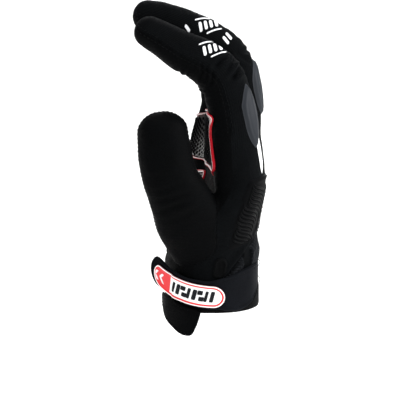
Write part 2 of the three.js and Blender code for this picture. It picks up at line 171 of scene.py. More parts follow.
def segment_distance(points: Array, path: Array) -> tuple[Array, Array]:
    """How points lie to a line of straight stretches.

    Args:
        points: The points.
        path: The line's corners.

    Returns:
        How far each point lies from it, and how far along it, as a share, its nearest place is.
    """
    best = np.full(len(points), np.inf)
    share = np.zeros(len(points))
    count = len(path) - 1
    for i in range(count):
        start = path[i]
        along = path[i + 1] - start
        t = np.clip(((points - start) @ along) / max(along @ along, 1e-9), 0, 1)
        distance = np.linalg.norm(points - start - t[:, None] * along, axis=1)
        nearer = distance < best
        best = np.where(nearer, distance, best)
        share = np.where(nearer, (i + t) / count, share)
    return best, share


def mesh_object(
    name: str,
    points: Array,
    faces: Sequence[Sequence[int]],
    materials: Sequence[Material],
    slots: Array | None = None,
    marks: dict[str, Array] | None = None,
) -> Piece:
    """A smooth-shaded mesh object in the scene.

    Args:
        name: The object's name.
        points: Its vertices, in millimetres.
        faces: Its faces, as rows of vertex numbers.
        materials: Its finishes.
        slots: The finish of each face, where there are several.
        marks: Vectors stored on the vertices under a name, which the finishes read.

    Returns:
        The object.
    """
    mesh = bpy.data.meshes.new(name)
    mesh.from_pydata((points * MM).tolist(), [], [list(map(int, face)) for face in faces])
    mesh.polygons.foreach_set("use_smooth", np.ones(len(mesh.polygons), bool))
    if slots is not None:
        mesh.polygons.foreach_set("material_index", slots.astype(np.int32))
    for key, values in (marks or {}).items():
        attribute = mesh.attributes.new(key, "FLOAT_VECTOR", "POINT")
        attribute.data.foreach_set("vector", values.astype(np.float32).ravel())
    for material in materials:
        mesh.materials.append(material)
    mesh.update()
    piece = bpy.data.objects.new(name, mesh)
    bpy.context.scene.collection.objects.link(piece)
    return piece


def place(piece: Piece, slot: str, *nodes: str) -> Piece:
    """Lets a piece ride on the glove, logs it with the name of a material slot, and hides the nodes of the
    frame that it stands for.

    Args:
        piece: The piece.
        slot: The name of a material slot, which is only logged.
        *nodes: The nodes that it replaces, if any.

    Returns:
        The piece.
    """
    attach(piece, BODY)
    if nodes:
        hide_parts(*nodes)
    log.info("%s: %d faces, slot %s", piece.name, len(piece.data.polygons), slot)
    return piece


def tube_faces(rings: int, sides: int, closed: bool = False) -> list[tuple[int, ...]]:
    """Faces of a tube of rings.

    Args:
        rings: How many rings it has.
        sides: How many points each ring has.
        closed: Whether the last ring joins the first. If not, each end gets a flat face.

    Returns:
        The faces, as rows of point numbers.
    """
    faces: list[tuple[int, ...]] = []
    for i in range(rings if closed else rings - 1):
        low = i * sides
        high = ((i + 1) % rings) * sides
        for j in range(sides):
            k = (j + 1) % sides
            faces.append((low + j, low + k, high + k, high + j))
    if not closed:
        faces.append(tuple(range(sides - 1, -1, -1)))
        faces.append(tuple((rings - 1) * sides + j for j in range(sides)))
    return faces


# Shading


class Paint:
    """Builds the nodes of one material."""

    def __init__(self, name: str, roughness: float, specular: float = 0.5) -> None:
        """Starts a material with a plain principled surface.

        Args:
            name: The material's name.
            roughness: Its roughness.
            specular: How strongly it reflects.
        """
        self.material = bpy.data.materials.new(name)
        self.material.use_nodes = True
        self.tree = self.material.node_tree
        self.surface = self.tree.nodes["Principled BSDF"]
        self.set("Roughness", roughness)
        self.set("Specular IOR Level", specular)

    def set(self, socket: str, value: float | tuple) -> None:
        """Sets a socket of the surface."""
        self.surface.inputs[socket].default_value = value

    def sheen(self, weight: float, roughness: float, tint: Colour = (1.0, 1.0, 1.0)) -> None:
        """Gives the surface the soft sheen of cloth."""
        self.set("Sheen Weight", weight)
        self.set("Sheen Roughness", roughness)
        self.set("Sheen Tint", (*tint, 1.0))

    def join(self, value: object, socket: Socket) -> None:
        """Feeds a socket.

        Args:
            value: Another node's output to link it to, or the number or colour that it is set to.
            socket: The socket.
        """
        if isinstance(value, Socket):
            self.tree.links.new(value, socket)
        elif isinstance(value, tuple):
            socket.default_value = (*value, 1.0)
        else:
            socket.default_value = value

    def attribute(self, name: str) -> Socket:
        """A vector stored on the mesh."""
        node = self.tree.nodes.new("ShaderNodeAttribute")
        node.attribute_name = name
        return node.outputs["Vector"]

    def place_mm(self) -> Socket:
        """Reads the place on the glove.

        Returns:
            The place in the object's own frame, in millimetres.
        """
        node = self.tree.nodes.new("ShaderNodeTexCoord")
        scale = self.tree.nodes.new("ShaderNodeVectorMath")
        scale.operation = "SCALE"
        self.join(node.outputs["Object"], scale.inputs[0])
        scale.inputs["Scale"].default_value = 1.0 / MM
        return scale.outputs[0]

    def part(self, vector: Socket, axis: int) -> Socket:
        """One coordinate of a vector."""
        node = self.tree.nodes.new("ShaderNodeSeparateXYZ")
        self.join(vector, node.inputs[0])
        return node.outputs[axis]

    def math(self, operation: str, *values: object) -> Socket:
        """Works out a value.

        Args:
            operation: The operation's name.
            *values: The one, two or three values that it takes.

        Returns:
            The result.
        """
        node = self.tree.nodes.new("ShaderNodeMath")
        node.operation = operation
        for value, socket in zip(values, node.inputs):
            self.join(value, socket)
        return node.outputs[0]

    def times(self, first: object, second: object) -> Socket:
        """The product of two values."""
        return self.math("MULTIPLY", first, second)

    def weigh(self, first: object, share: float, second: object, other: float) -> Socket:
        """The sum of a share of one value and a share of another."""
        return self.math("MULTIPLY_ADD", first, share, self.times(second, other))

    def wave(self, value: object, pitch: float, shift: object = 0.0) -> Socket:
        """A sine from 0 to 1 that repeats every pitch."""
        turns = self.math("MULTIPLY_ADD", value, math.tau / pitch, shift)
        return self.math("MULTIPLY_ADD", self.math("SINE", turns), 0.5, 0.5)

    def noise(self, vector: object, scale: float, detail: float = 2.0) -> Socket:
        """Soft noise.

        Args:
            vector: The place, in millimetres.
            scale: How many grains there are to a millimetre.
            detail: How many finer layers lie on it.

        Returns:
            The noise, from 0 to 1.
        """
        node = self.tree.nodes.new("ShaderNodeTexNoise")
        node.inputs["Scale"].default_value = scale
        node.inputs["Detail"].default_value = detail
        self.join(vector, node.inputs["Vector"])
        return node.outputs[0]

    def cells(self, vector: object, scale: float, feature: str = "F1") -> Socket:
        """Irregular cells.

        Args:
            vector: The place, in millimetres.
            scale: How many cells there are to a millimetre.
            feature: F1 for the distance to the cell's middle, DISTANCE_TO_EDGE for that to its edge.

        Returns:
            The distance.
        """
        node = self.tree.nodes.new("ShaderNodeTexVoronoi")
        node.feature = feature
        node.inputs["Scale"].default_value = scale
        self.join(vector, node.inputs["Vector"])
        return node.outputs["Distance"]

    def ramp(self, value: object, low: float, high: float, start: float = 0, end: float = 1) -> Socket:
        """A clamped ramp.

        Args:
            value: The value that it follows.
            low: The value where it starts.
            high: The value where it ends.
            start: What it gives at low and before.
            end: What it gives at high and past it.

        Returns:
            The ramp.
        """
        node = self.tree.nodes.new("ShaderNodeMapRange")
        for number, socket in zip((value, low, high, start, end), node.inputs):
            self.join(number, socket)
        return node.outputs[0]

    def stripe(self, value: object, low: float, high: float, soft: float = 0.04) -> Socket:
        """1 where the value lies between low and high and 0 elsewhere, with soft edges."""
        rise = self.ramp(value, low - soft, low + soft)
        return self.times(rise, self.ramp(value, high - soft, high + soft, 1.0, 0.0))

    def mix(self, share: object, first: object, second: object) -> Socket:
        """A blend of two colours.

        Args:
            share: How much there is of the second colour.
            first: The first colour.
            second: The second colour.

        Returns:
            The blend.
        """
        node = self.tree.nodes.new("ShaderNodeMix")
        node.data_type = "RGBA"
        self.join(share, node.inputs["Factor"])
        self.join(first, node.inputs[6])
        self.join(second, node.inputs[7])
        return node.outputs[2]

    def uneven(self, value: object, colour: Colour, share: float) -> Socket:
        """A colour that goes down to a share of itself where the value is 1."""
        return self.mix(value, colour, tuple(share * part for part in colour))

    def finish(self, colour: object, height: object, depth: float, roughness: object = None) -> Material:
        """Joins colour, relief and roughness to the surface.

        Args:
            colour: The base colour.
            height: The relief, from 0 to 1.
            depth: How deep the relief is, in millimetres.
            roughness: The roughness, where it isn't the same all over.

        Returns:
            The material.
        """
        bump = self.tree.nodes.new("ShaderNodeBump")
        bump.inputs["Distance"].default_value = depth * MM
        self.join(height, bump.inputs["Height"])
        self.join(bump.outputs["Normal"], self.surface.inputs["Normal"])
        self.join(colour, self.surface.inputs["Base Color"])
        if roughness is not None:
            self.join(roughness, self.surface.inputs["Roughness"])
        return self.material


class Finish(Protocol):
    """What every finish can do."""

    def build(self) -> Material:
        """Makes the finish's material."""


@cache
def finish_of(finish: Finish) -> Material:
    """A finish's material, made once."""
    return finish.build()


def marked_object(
    name: str, points: Array, faces: Sequence[Sequence[int]], finish: Finish, marks: Array
) -> Piece:
    """A mesh object with one finish, and the mark "patch" that the finish reads."""
    return mesh_object(name, points, faces, [finish_of(finish)], None, {"patch": marks})


@dataclass(frozen=True)
class Knit:
    """Stretch knit: rows of small loops with a soft sheen, and painted shade in the hollows between the
    loops where that is asked for.
    """

    name: str
    dark: Colour
    light: Colour
    loop: float = 1.1
    row: float = 0.85
    depth: float = 0.16
    sheen: float = 0.004
    painted_loop_shade: float = 0.0
    zigzag: float = 2.2

    def build(self) -> Material:
        """Makes the material.

        Returns:
            The material. It reads the mark "weave", the place in the cloth around and along.
        """
        paint = Paint(self.name, 0.82, 0.035)
        weave = paint.attribute("weave")
        around = paint.part(weave, 0)
        along = paint.part(weave, 1)
        zigzag = paint.times(paint.wave(along, self.row), self.zigzag)
        loops = paint.wave(around, self.loop, zigzag)
        rows = paint.wave(along, self.row / 2)
        height = paint.math("MULTIPLY_ADD", rows, 0.35, loops)
        fuzz = paint.noise(paint.place_mm(), 1.6, 3.0)
        patches = paint.noise(paint.place_mm(), 0.06, 2.0)
        shade = paint.weigh(fuzz, 0.6, patches, 0.7)
        # The loops' height also lightens the colour on their tops and darkens it in the hollows between
        # them. This is painted shade of the knit's relief, and the cuff's mesh knit uses it.
        shade = paint.math("MULTIPLY_ADD", height, self.painted_loop_shade, shade)
        colour = paint.mix(paint.ramp(shade, 0.35, 0.95 + self.painted_loop_shade), self.dark, self.light)
        paint.sheen(self.sheen, 0.45, (0.72, 0.78, 0.9))
        relief = paint.math("MULTIPLY_ADD", fuzz, 0.5, height)
        return paint.finish(colour, relief, self.depth, paint.ramp(fuzz, 0.2, 0.8, 0.72, 0.9))


@dataclass(frozen=True)
class Leather:
    """Synthetic leather: fine pebbled grain with faint level lines."""

    name: str
    dark: Colour
    light: Colour
    grain: float = 1.0
    lines: float = 1.9
    depth: float = 0.12
    sheen: float = 0.003

    def build(self) -> Material:
        """Makes the material.

        Returns:
            The material.
        """
        paint = Paint(self.name, 0.66, 0.025)
        spot = paint.place_mm()
        pebbles = paint.ramp(paint.cells(spot, self.grain, "DISTANCE_TO_EDGE"), 0.0, 0.22)
        worn = paint.noise(spot, 0.09, 3.0)
        fine = paint.noise(spot, 2.4, 2.0)
        sway = paint.times(worn, 9.0)
        lines = paint.wave(paint.part(spot, 2), self.lines, sway)
        ground = paint.weigh(lines, 0.3, pebbles, 0.45)
        relief = paint.math("MULTIPLY_ADD", fine, 0.5, ground)
        shade = paint.weigh(worn, 0.9, fine, 0.3)
        colour = paint.mix(paint.ramp(shade, 0.35, 0.9), self.dark, self.light)
        paint.sheen(self.sheen, 0.5)
        return paint.finish(colour, relief, self.depth, paint.ramp(worn, 0.25, 0.75, 0.56, 0.74))


@dataclass(frozen=True)
class Rubber:
    """Moulded rubber: satin, finely pitted, and rubbed paler along its edges."""

    name: str
    colour: Colour
    worn: Colour
    roughness: float = 0.42
    specular: float = 0.25
    pits: float = 0.05

    def build(self) -> Material:
        """Makes the material.

        Returns:
            The material. It reads the mark "patch", whose third number is the distance to the edge.
        """
        paint = Paint(self.name, self.roughness, self.specular)
        spot = paint.place_mm()
        fine = paint.noise(spot, 3.0, 3.0)
        broad = paint.noise(spot, 0.12, 2.0)
        edge = paint.part(paint.attribute("patch"), 2)
        rubbed = paint.times(paint.ramp(edge, 0.15, 1.1, 1.0, 0.0), paint.ramp(broad, 0.35, 0.7))
        colour = paint.mix(paint.weigh(rubbed, 0.6, fine, 0.3), self.colour, self.worn)
        low = self.roughness - 0.07
        high = self.roughness + 0.12
        return paint.finish(colour, fine, self.pits, paint.ramp(broad, 0.3, 0.7, low, high))


@dataclass(frozen=True)
class CarbonGrip:
    """Grip coating with a woven carbon look: diamonds with pale strands between them."""

    name: str
    dark: Colour
    strand: Colour
    pitch: float = 1.7
    flatness: float = 0.72
    bright_at: tuple[float, float] = (95.0, 102.0)
    upper_strength: float = 0.08

    def build(self) -> Material:
        """Makes the material, bright below bright_at and dark above it.

        Returns:
            The material. It reads the mark "patch", the place on the pad across and up.
        """
        paint = Paint(self.name, 0.34, 0.6)
        patch = paint.attribute("patch")
        across = paint.part(patch, 0)
        up = paint.times(paint.part(patch, 1), self.flatness)
        rising = paint.wave(paint.math("ADD", across, up), self.pitch)
        falling = paint.wave(paint.math("SUBTRACT", across, up), self.pitch)
        over = paint.math("MAXIMUM", rising, falling)
        strands = paint.ramp(over, 0.62, 0.98)
        low = paint.ramp(paint.part(patch, 1), *self.bright_at, 1.0, self.upper_strength)
        threads = paint.wave(paint.math("ADD", across, paint.times(up, 3.0)), self.pitch / 5)
        broad = paint.noise(paint.place_mm(), 0.1, 2.0)
        worn = paint.times(strands, paint.ramp(broad, 0.3, 0.62, 0.7, 1.0))
        colour = paint.mix(paint.times(worn, low), self.dark, self.strand)
        relief = paint.math("MULTIPLY_ADD", threads, 0.15, strands)
        paint.set("Coat Weight", 0.35)
        paint.set("Coat Roughness", 0.25)
        return paint.finish(colour, relief, 0.3, paint.ramp(strands, 0.0, 1.0, 0.5, 0.3))


@dataclass(frozen=True)
class Piping:
    """Printed edging: red with a white line along its inner side, and a second one along its upper run."""

    name: str
    red: Colour
    white: Colour
    line: tuple[float, float] = (0.05, 0.45)
    second: tuple[float, float] = (0.68, 0.84)
    second_from: tuple[float, float] = (0.78, 0.84)

    def build(self) -> Material:
        """Makes the material.

        Returns:
            The material. It reads the mark "patch": the second number is how high a place lies on the
            edging, and the third how far across it, both from 0 to 1.
        """
        paint = Paint(self.name, 0.42, 0.15)
        patch = paint.attribute("patch")
        fine = paint.noise(paint.place_mm(), 1.2, 2.0)
        inner, outer = (paint.stripe(paint.part(patch, 2), *edges) for edges in (self.line, self.second))
        upper = paint.ramp(paint.part(patch, 1), *self.second_from)
        white = paint.math("MAXIMUM", inner, paint.times(outer, upper))
        return paint.finish(paint.mix(white, paint.uneven(fine, self.red, 0.7), self.white), fine, 0.06)


@dataclass(frozen=True)
class Tape:
    """Woven tape or brushed strap cloth: fine ribs across, and fuzz."""

    name: str
    dark: Colour
    light: Colour
    rib: float = 0.9
    fuzz: float = 0.5
    roughness: float = 0.8
    depth: float = 0.14
    sheen: float = 0.01

    def build(self) -> Material:
        """Makes the material.

        Returns:
            The material. It reads the mark "patch": how far along and how far across the tape.
        """
        paint = Paint(self.name, self.roughness, 0.05)
        patch = paint.attribute("patch")
        spot = paint.place_mm()
        run = paint.part(patch, 0)
        across = paint.part(patch, 1)
        ribs = paint.times(paint.wave(run, self.rib), paint.wave(across, self.rib * 0.8))
        hair = paint.noise(spot, 2.2, 4.0)
        broad = paint.noise(spot, 0.08, 2.0)
        relief = paint.weigh(hair, self.fuzz * 2, ribs, 1 - self.fuzz)
        shade = paint.weigh(hair, 0.6, broad, 0.6)
        colour = paint.mix(paint.ramp(shade, 0.35, 0.9), self.dark, self.light)
        paint.sheen(self.sheen, 0.4, (0.7, 0.78, 0.92))
        return paint.finish(colour, relief, self.depth)


@dataclass(frozen=True)
class Plain:
    """A smooth finish with a little unevenness, for thread, print and the badge's parts."""

    name: str
    colour: Colour
    roughness: float = 0.5
    specular: float = 0.5
    grain: float = 1.5
    depth: float = 0.03
    shade: float = 0.82

    def build(self) -> Material:
        """Makes the material.

        Returns:
            The material.
        """
        paint = Paint(self.name, self.roughness, self.specular)
        fine = paint.noise(paint.place_mm(), self.grain, 3.0)
        colour = paint.uneven(fine, self.colour, self.shade)
        roughness = paint.ramp(fine, 0.2, 0.8, self.roughness - 0.05, self.roughness + 0.08)
        return paint.finish(colour, fine, self.depth, roughness)


@dataclass(frozen=True)
class BadgePaint:
    """The badge's colours: dark sides, white border, thin red line, and a field that is red at one end."""

    name: str
    white: Colour
    red: Colour
    side: Colour
    line: tuple[float, float] = (0.8, 1.8)
    red_from: float = 35.2
    slant: float = 0.12

    def build(self) -> Material:
        """Makes the material.

        Returns:
            The material. It reads the mark "patch": the run, the height and the distance to the rim.
        """
        paint = Paint(self.name, 0.38, 0.4)
        patch = paint.attribute("patch")
        run = paint.part(patch, 0)
        rim = paint.part(patch, 2)
        fine = paint.noise(paint.place_mm(), 1.4, 2.0)
        slanted = paint.math("MULTIPLY_ADD", paint.part(patch, 1), self.slant, run)
        past = paint.ramp(slanted, self.red_from, self.red_from + 0.15)
        end_field = paint.times(past, paint.ramp(rim, self.line[0], self.line[0] + 0.08))
        red = paint.math("MAXIMUM", paint.stripe(rim, *self.line), end_field)
        face = paint.mix(red, paint.uneven(fine, self.white, 0.93), self.red)
        colour = paint.mix(paint.ramp(rim, 0.05, 0.3), self.side, face)
        paint.set("Coat Weight", 0.15)
        return paint.finish(colour, fine, 0.04)


KNIT = Knit("stretch_knit", (0.0007, 0.0009, 0.0011), (0.0018, 0.0023, 0.0028))
LEATHER = Leather("palm_leather", (0.0004, 0.0005, 0.0006), (0.001, 0.0012, 0.0015))
CUFF_KNIT = Knit(
    "cuff_mesh_knit", (0.0006, 0.0008, 0.001), (0.0115, 0.0125, 0.0145), 1.9, 1.7, 0.5, 0.006, painted_loop_shade=0.9)
LINING = Knit("lining_knit", (0.012, 0.0125, 0.0135), (0.024, 0.025, 0.027), 1.3, 1.0, 0.12, 0.05)
GREY_RUBBER = Rubber("grey_rubber", (0.0155, 0.0175, 0.021), (0.029, 0.0315, 0.0365), 0.48, 0.08)
BLACK_RUBBER = Rubber("black_rubber", (0.0009, 0.001, 0.0012), (0.0026, 0.0029, 0.0034), 0.6, 0.025)
RIB_RUBBER = Rubber("rib_rubber", (0.0008, 0.001, 0.0012), (0.0024, 0.0027, 0.0031), 0.5, 0.05)
WHITE_RUBBER = Rubber("white_rubber", (0.78, 0.79, 0.79), (0.84, 0.84, 0.83), 0.4)
CARBON = CarbonGrip("carbon_grip", (0.012, 0.011, 0.01), (0.3, 0.3, 0.29))
PIPING = Piping("red_piping", (0.46, 0.004, 0.014), (0.8, 0.78, 0.77))
STRAP_CLOTH = Tape("strap_cloth", (0.0015, 0.0018, 0.0026), (0.0036, 0.0043, 0.006))
BINDING_TAPE = Tape("binding_tape", (0.0003, 0.0004, 0.0005), (0.0011, 0.0013, 0.0015), 0.8, 0.25)
THREAD = Plain("black_thread", (0.0018, 0.002, 0.0023), 0.6, 0.04, 4.0, 0.05)
PRINT = Plain("white_print", (0.8, 0.81, 0.83), 0.45)
BADGE = BadgePaint("badge_rubber", (0.9, 0.905, 0.895), (0.66, 0.022, 0.028), (0.16, 0.012, 0.014))
BADGE_DARK = Plain("badge_dark", (0.006, 0.007, 0.009), 0.5, 0.12)
FLOOR = Plain("pale_floor", (0.96, 0.96, 0.96), 0.9, 0.1, 0.02, 0.0, 0.98)


ZONE_FINISHES = {Zone.KNIT: KNIT, Zone.LEATHER: LEATHER, Zone.CUFF: CUFF_KNIT, Zone.LINING: LINING}


# Form of the glove


@dataclass(frozen=True)
class Section:
    """One section of the hand, a finger or the thumb.

    lean moves the little finger's side towards the palm, and bow pulls both sides towards it.
    """

    x: float
    y: float
    z: float
    thick: float
    broad: float
    square: float = 2.2
    lean: float = 0.0
    bow: float = 0.0


@dataclass
class Loft:
    """A form lofted through sections, with a dome past the last one."""

    rows: tuple[Section, ...]
    tip: float
    side: tuple[float, float, float] = (0.0, 1.0, 0.0)
    level: bool = False
    samples: int = 150

    def __post_init__(self) -> None:
        """Works out the centre line, its frames and the sizes along it."""
        shares = np.linspace(0, 1, self.samples)
        centres = np.array([(r.x, r.y, r.z) for r in self.rows], float)
        sizes = np.array([(r.thick, r.broad, r.square) for r in self.rows], float)
        bends = np.array([(r.lean, r.bow, 0.0) for r in self.rows], float)
        self.centre = through(centres, shares)
        self.size = through(sizes, shares)
        self.bend = through(bends, shares)
        step = 1e-4
        ahead = through(centres, shares + step) - through(centres, shares - step)
        self.along = np.tile(UP, (self.samples, 1)) if self.level else unit(ahead)
        side = np.array(self.side) - (self.along @ np.array(self.side))[:, None] * self.along
        self.across = unit(side)
        self.back = np.cross(self.across, self.along)
        self.run = run_along(self.centre)

    def points(
        self, index: Array, angle: Array, ahead: Array | float = 0.0, share: Array | float = 1.0
    ) -> Array:
        """Points of the form's surface.

        Args:
            index: The sample of the centre line that each point belongs to.
            angle: Its angle around it, from the back towards the side axis, in radians.
            ahead: How far past its section it lies, in the dome.
            share: The section's size there, as a share.

        Returns:
            The points.
        """
        size = self.size[index]
        p, q = rounded(size[:, 0] / 2 * share, size[:, 1] / 2 * share, angle, size[:, 2])
        across = 2 * q / size[:, 1]
        shift = self.bend[index, 0] * across + self.bend[index, 1] * across**2
        middle = self.centre[index] + self.along[index] * np.reshape(ahead * np.ones(len(index)), (-1, 1))
        return middle + self.back[index] * (p + shift)[:, None] + self.across[index] * q[:, None]

    def closed_mesh(self, sides: int = 64, dome: int = 9) -> tuple[Array, list[tuple[int, ...]]]:
        """The form as a closed tube with a rounded end.

        Args:
            sides: How many points each ring has.
            dome: How many rings the rounded end has.

        Returns:
            Its points and its faces.
        """
        angles = np.linspace(0, math.tau, sides, endpoint=False)
        rings = [self.points(np.full(sides, i), angles) for i in range(self.samples)]
        last = np.full(sides, self.samples - 1)
        for turn in np.linspace(0, math.pi / 2, dome + 1)[1:] * 0.97:
            rings.append(self.points(last, angles, self.tip * math.sin(turn), math.cos(turn)))
        return np.vstack(rings), tube_faces(len(rings), sides)

    def locate(self, points: Array) -> tuple[Array, Array, Array]:
        """Where points lie on the form.

        Args:
            points: The points.

        Returns:
            The run along the centre line, the angle around it, and the ratio of each point's distance from
            it to the surface's own, which is 1 on the surface.
        """
        index = np.zeros(len(points), int)
        for start in range(0, len(points), CHUNK):
            chunk = points[start : start + CHUNK]
            if self.level:
                gaps = np.abs(chunk[:, None, 2] - self.centre[None, :, 2])
            else:
                gaps = np.linalg.norm(chunk[:, None] - self.centre[None], axis=2)
            index[start : start + CHUNK] = gaps.argmin(axis=1)
        away = points - self.centre[index]
        ahead = np.einsum("ij,ij->i", away, self.along[index])
        q = np.einsum("ij,ij->i", away, self.across[index])
        size = self.size[index]
        across = np.clip(2 * q / size[:, 1], -1.2, 1.2)
        shift = self.bend[index, 0] * across + self.bend[index, 1] * across**2
        p = np.einsum("ij,ij->i", away, self.back[index]) - shift
        past = (index == self.samples - 1) & (ahead > 0)
        share = np.where(past, np.sqrt(np.maximum(0.02, 1 - (ahead / self.tip) ** 2)), 1.0)
        x = p / (size[:, 0] / 2 * share)
        y = q / (size[:, 1] / 2 * share)
        ratio = (np.abs(x) ** size[:, 2] + np.abs(y) ** size[:, 2]) ** (1 / size[:, 2])
        over = np.where(past & (ahead > self.tip), 1 + (ahead - self.tip) / self.tip, 0.0)
        return self.run[index] + ahead, np.arctan2(y, x), np.maximum(ratio, over)


WRIST = {"x": 0.2, "thick": 58.0, "broad": 70.0, "square": 2.3}


def wrist_outline(angle: Array) -> Array:
    """Level places around the wrist, at angles from the back towards the little finger's side."""
    x, y = rounded(WRIST["thick"] / 2, WRIST["broad"] / 2, angle, WRIST["square"])
    return np.stack([WRIST["x"] + x, y], axis=1)


HAND = Loft(
    (
        *(Section(y=0, z=z, **WRIST) for z in (-16.5, 3.5, 23.5)),
        Section(1, 0, 37.5, 55, 75, 2.3, -1, 0),
        Section(5, 0, 51.5, 47, 82, 2.4, -3, -1),
        Section(10.8, 0, 65.5, 38.5, 86, 2.5, -5, -2),
        Section(15, 0, 78.5, 31.5, 87, 2.6, -8, -4),
        Section(15.5, 0, 89.5, 29.5, 87, 2.6, -8, -4.5),
        Section(15.3, 0, 102, 28, 85, 2.6, -7, -4),
    ),
    tip=10,
    level=True,
)
INDEX = Loft(
    (
        Section(15, -27, 60, 18, 18),
        Section(15, -31, 79.5, 27, 22),
        Section(14.5, -32, 97.5, 28, 22.4),
        Section(13, -33, 115.5, 28, 22.4),
        Section(10.5, -33.5, 129.5, 27.5, 22.2),
        Section(5.3, -34, 143.5, 27.5, 22),
        Section(-5.4, -34, 152.6, 26, 21.6),
        Section(-18.6, -34, 159.2, 24, 21.2),
        Section(-28.5, -34, 165.4, 21, 20.4),
        Section(-37, -34, 170, 19, 19.4),
    ),
    tip=9,
)
MIDDLE = Loft(
    (
        Section(15.5, -10, 79.5, 24, 21),
        Section(16.5, -10.3, 101.5, 27.5, 21.4),
        Section(16.8, -10.6, 121.5, 27, 21.4),
        Section(14.9, -11, 139, 26.5, 21.4),
        Section(9.9, -11, 153.2, 26.5, 21.2),
        Section(-1.8, -11, 163.4, 25, 20.8),
        Section(-18, -11, 171.8, 23, 20.4),
        Section(-29.8, -11, 176.4, 21, 20),
        Section(-38.7, -11, 178.7, 19.5, 19),
    ),
    tip=9,
)
RING = Loft(
    (
        Section(10, 11, 62, 18, 18),
        Section(10, 11, 80, 24, 20),
        Section(10, 11.2, 101.5, 26, 20.6),
        Section(10, 11.4, 121.5, 24.5, 20.6),
        Section(9.5, 11.6, 138.5, 22.5, 20.4),
        Section(2.5, 11.8, 152.5, 22.5, 20),
        Section(-11, 12, 161, 21, 19.6),
        Section(-28, 12, 168.5, 18.5, 18.6),
    ),
    tip=9,
)
LITTLE = Loft(
    (
        Section(3, 29, 54, 14, 14),
        Section(0.5, 31, 74, 22, 18),
        Section(0, 32, 92, 25, 19),
        Section(2.5, 32.8, 109.5, 23, 19),
        Section(4.5, 33.6, 123.5, 20.5, 18.6),
        Section(1, 34.4, 136, 19.5, 18),
        Section(-10, 35, 147.5, 17.5, 17),
    ),
    tip=8,
)
THUMB = Loft(
    (
        Section(3, -14, 22, 20, 26),
        Section(-4, -23.5, 41, 30, 43),
        Section(-12.5, -31, 55.5, 28, 42),
        Section(-18.5, -36.5, 69.5, 26, 37),
        Section(-24.5, -40, 83.5, 25, 33),
        Section(-27.5, -42, 96.5, 24, 32),
        Section(-29, -43, 111.5, 22.5, 30),
    ),
    tip=12,
    side=(1.0, 0.0, 0.25),
)
LOFTS = {"hand": HAND, "index": INDEX, "middle": MIDDLE, "ring": RING, "little": LITTLE, "thumb": THUMB}
FORMS = tuple(LOFTS)
FINGERS = ("index", "middle", "ring", "little")
CUFF_LINE = ((4.3, 18.8), (11.2, 23.8), (17.4, 32.6), (25.4, 42.6), (28.5, 47.3))


@dataclass(frozen=True)
class Fold:
    """A crease, or a swell where deep is negative, that follows a path seen from one side."""

    form: str
    side: Side
    path: tuple[tuple[float, float], ...]
    deep: float
    wide: float
    lip: float = 0.4

    def depth(self, points: Array, normals: Array, owner: Array) -> Array:
        """How far the fold pushes each point out.

        Args:
            points: The points of the shell.
            normals: The outward directions there.
            owner: The number of the form that each point belongs to.

        Returns:
            The push, in millimetres, less than nothing in the groove.
        """
        distance, share = segment_distance(self.side.flat(points), np.array(self.path, float))
        faces = smoothstep(-0.05, 0.45, normals @ np.array(self.side.value))
        fade = 1 - np.abs(2 * share - 1) ** 5
        groove = mound(distance, 0.0, self.wide)
        lips = mound(distance, 1.9 * self.wide, self.wide)
        mine = (owner == FORMS.index(self.form)).astype(float)
        return mine * faces * (0.25 + 0.75 * fade) * self.deep * (self.lip * lips - groove)


@dataclass(frozen=True)
class JointFolds:
    """Parallel folds across a finger where it bends.

    run is the place of the bend along the finger's centre line, and spread is how far apart the folds lie.
    The palm side bunches into deep folds and the back is drawn smooth with shallow ones.
    """

    form: str
    run: float
    count: int
    spread: float
    palm: float
    back: float

    def depth(self, run: Array, angle: Array, owner: Array) -> Array:
        """How far the folds push each point out.

        Args:
            run: How far along the finger each point lies.
            angle: Its angle around it.
            owner: The number of the form that it belongs to.

        Returns:
            The push, in millimetres.
        """
        total = np.zeros(len(run))
        middle = (self.count - 1) / 2
        facing = np.cos(angle)
        strength = np.where(facing < 0, self.palm * facing**2, self.back * facing**2)
        for i in range(self.count):
            sway = 0.8 * np.sin(3 * angle + 1.7 * i) + 1.1 * np.cos(angle + i)
            at = self.run + (i - middle) * self.spread * (1 + 0.35 * facing) + sway
            gap = (run - at) / (0.3 * self.spread)
            share = 1 - 0.3 * abs(i - middle)
            total += share * (0.45 * mound(np.abs(gap), 1.7, 1.0) - mound(gap, 0.0, 1.0))
        return (owner == FORMS.index(self.form)) * strength * total


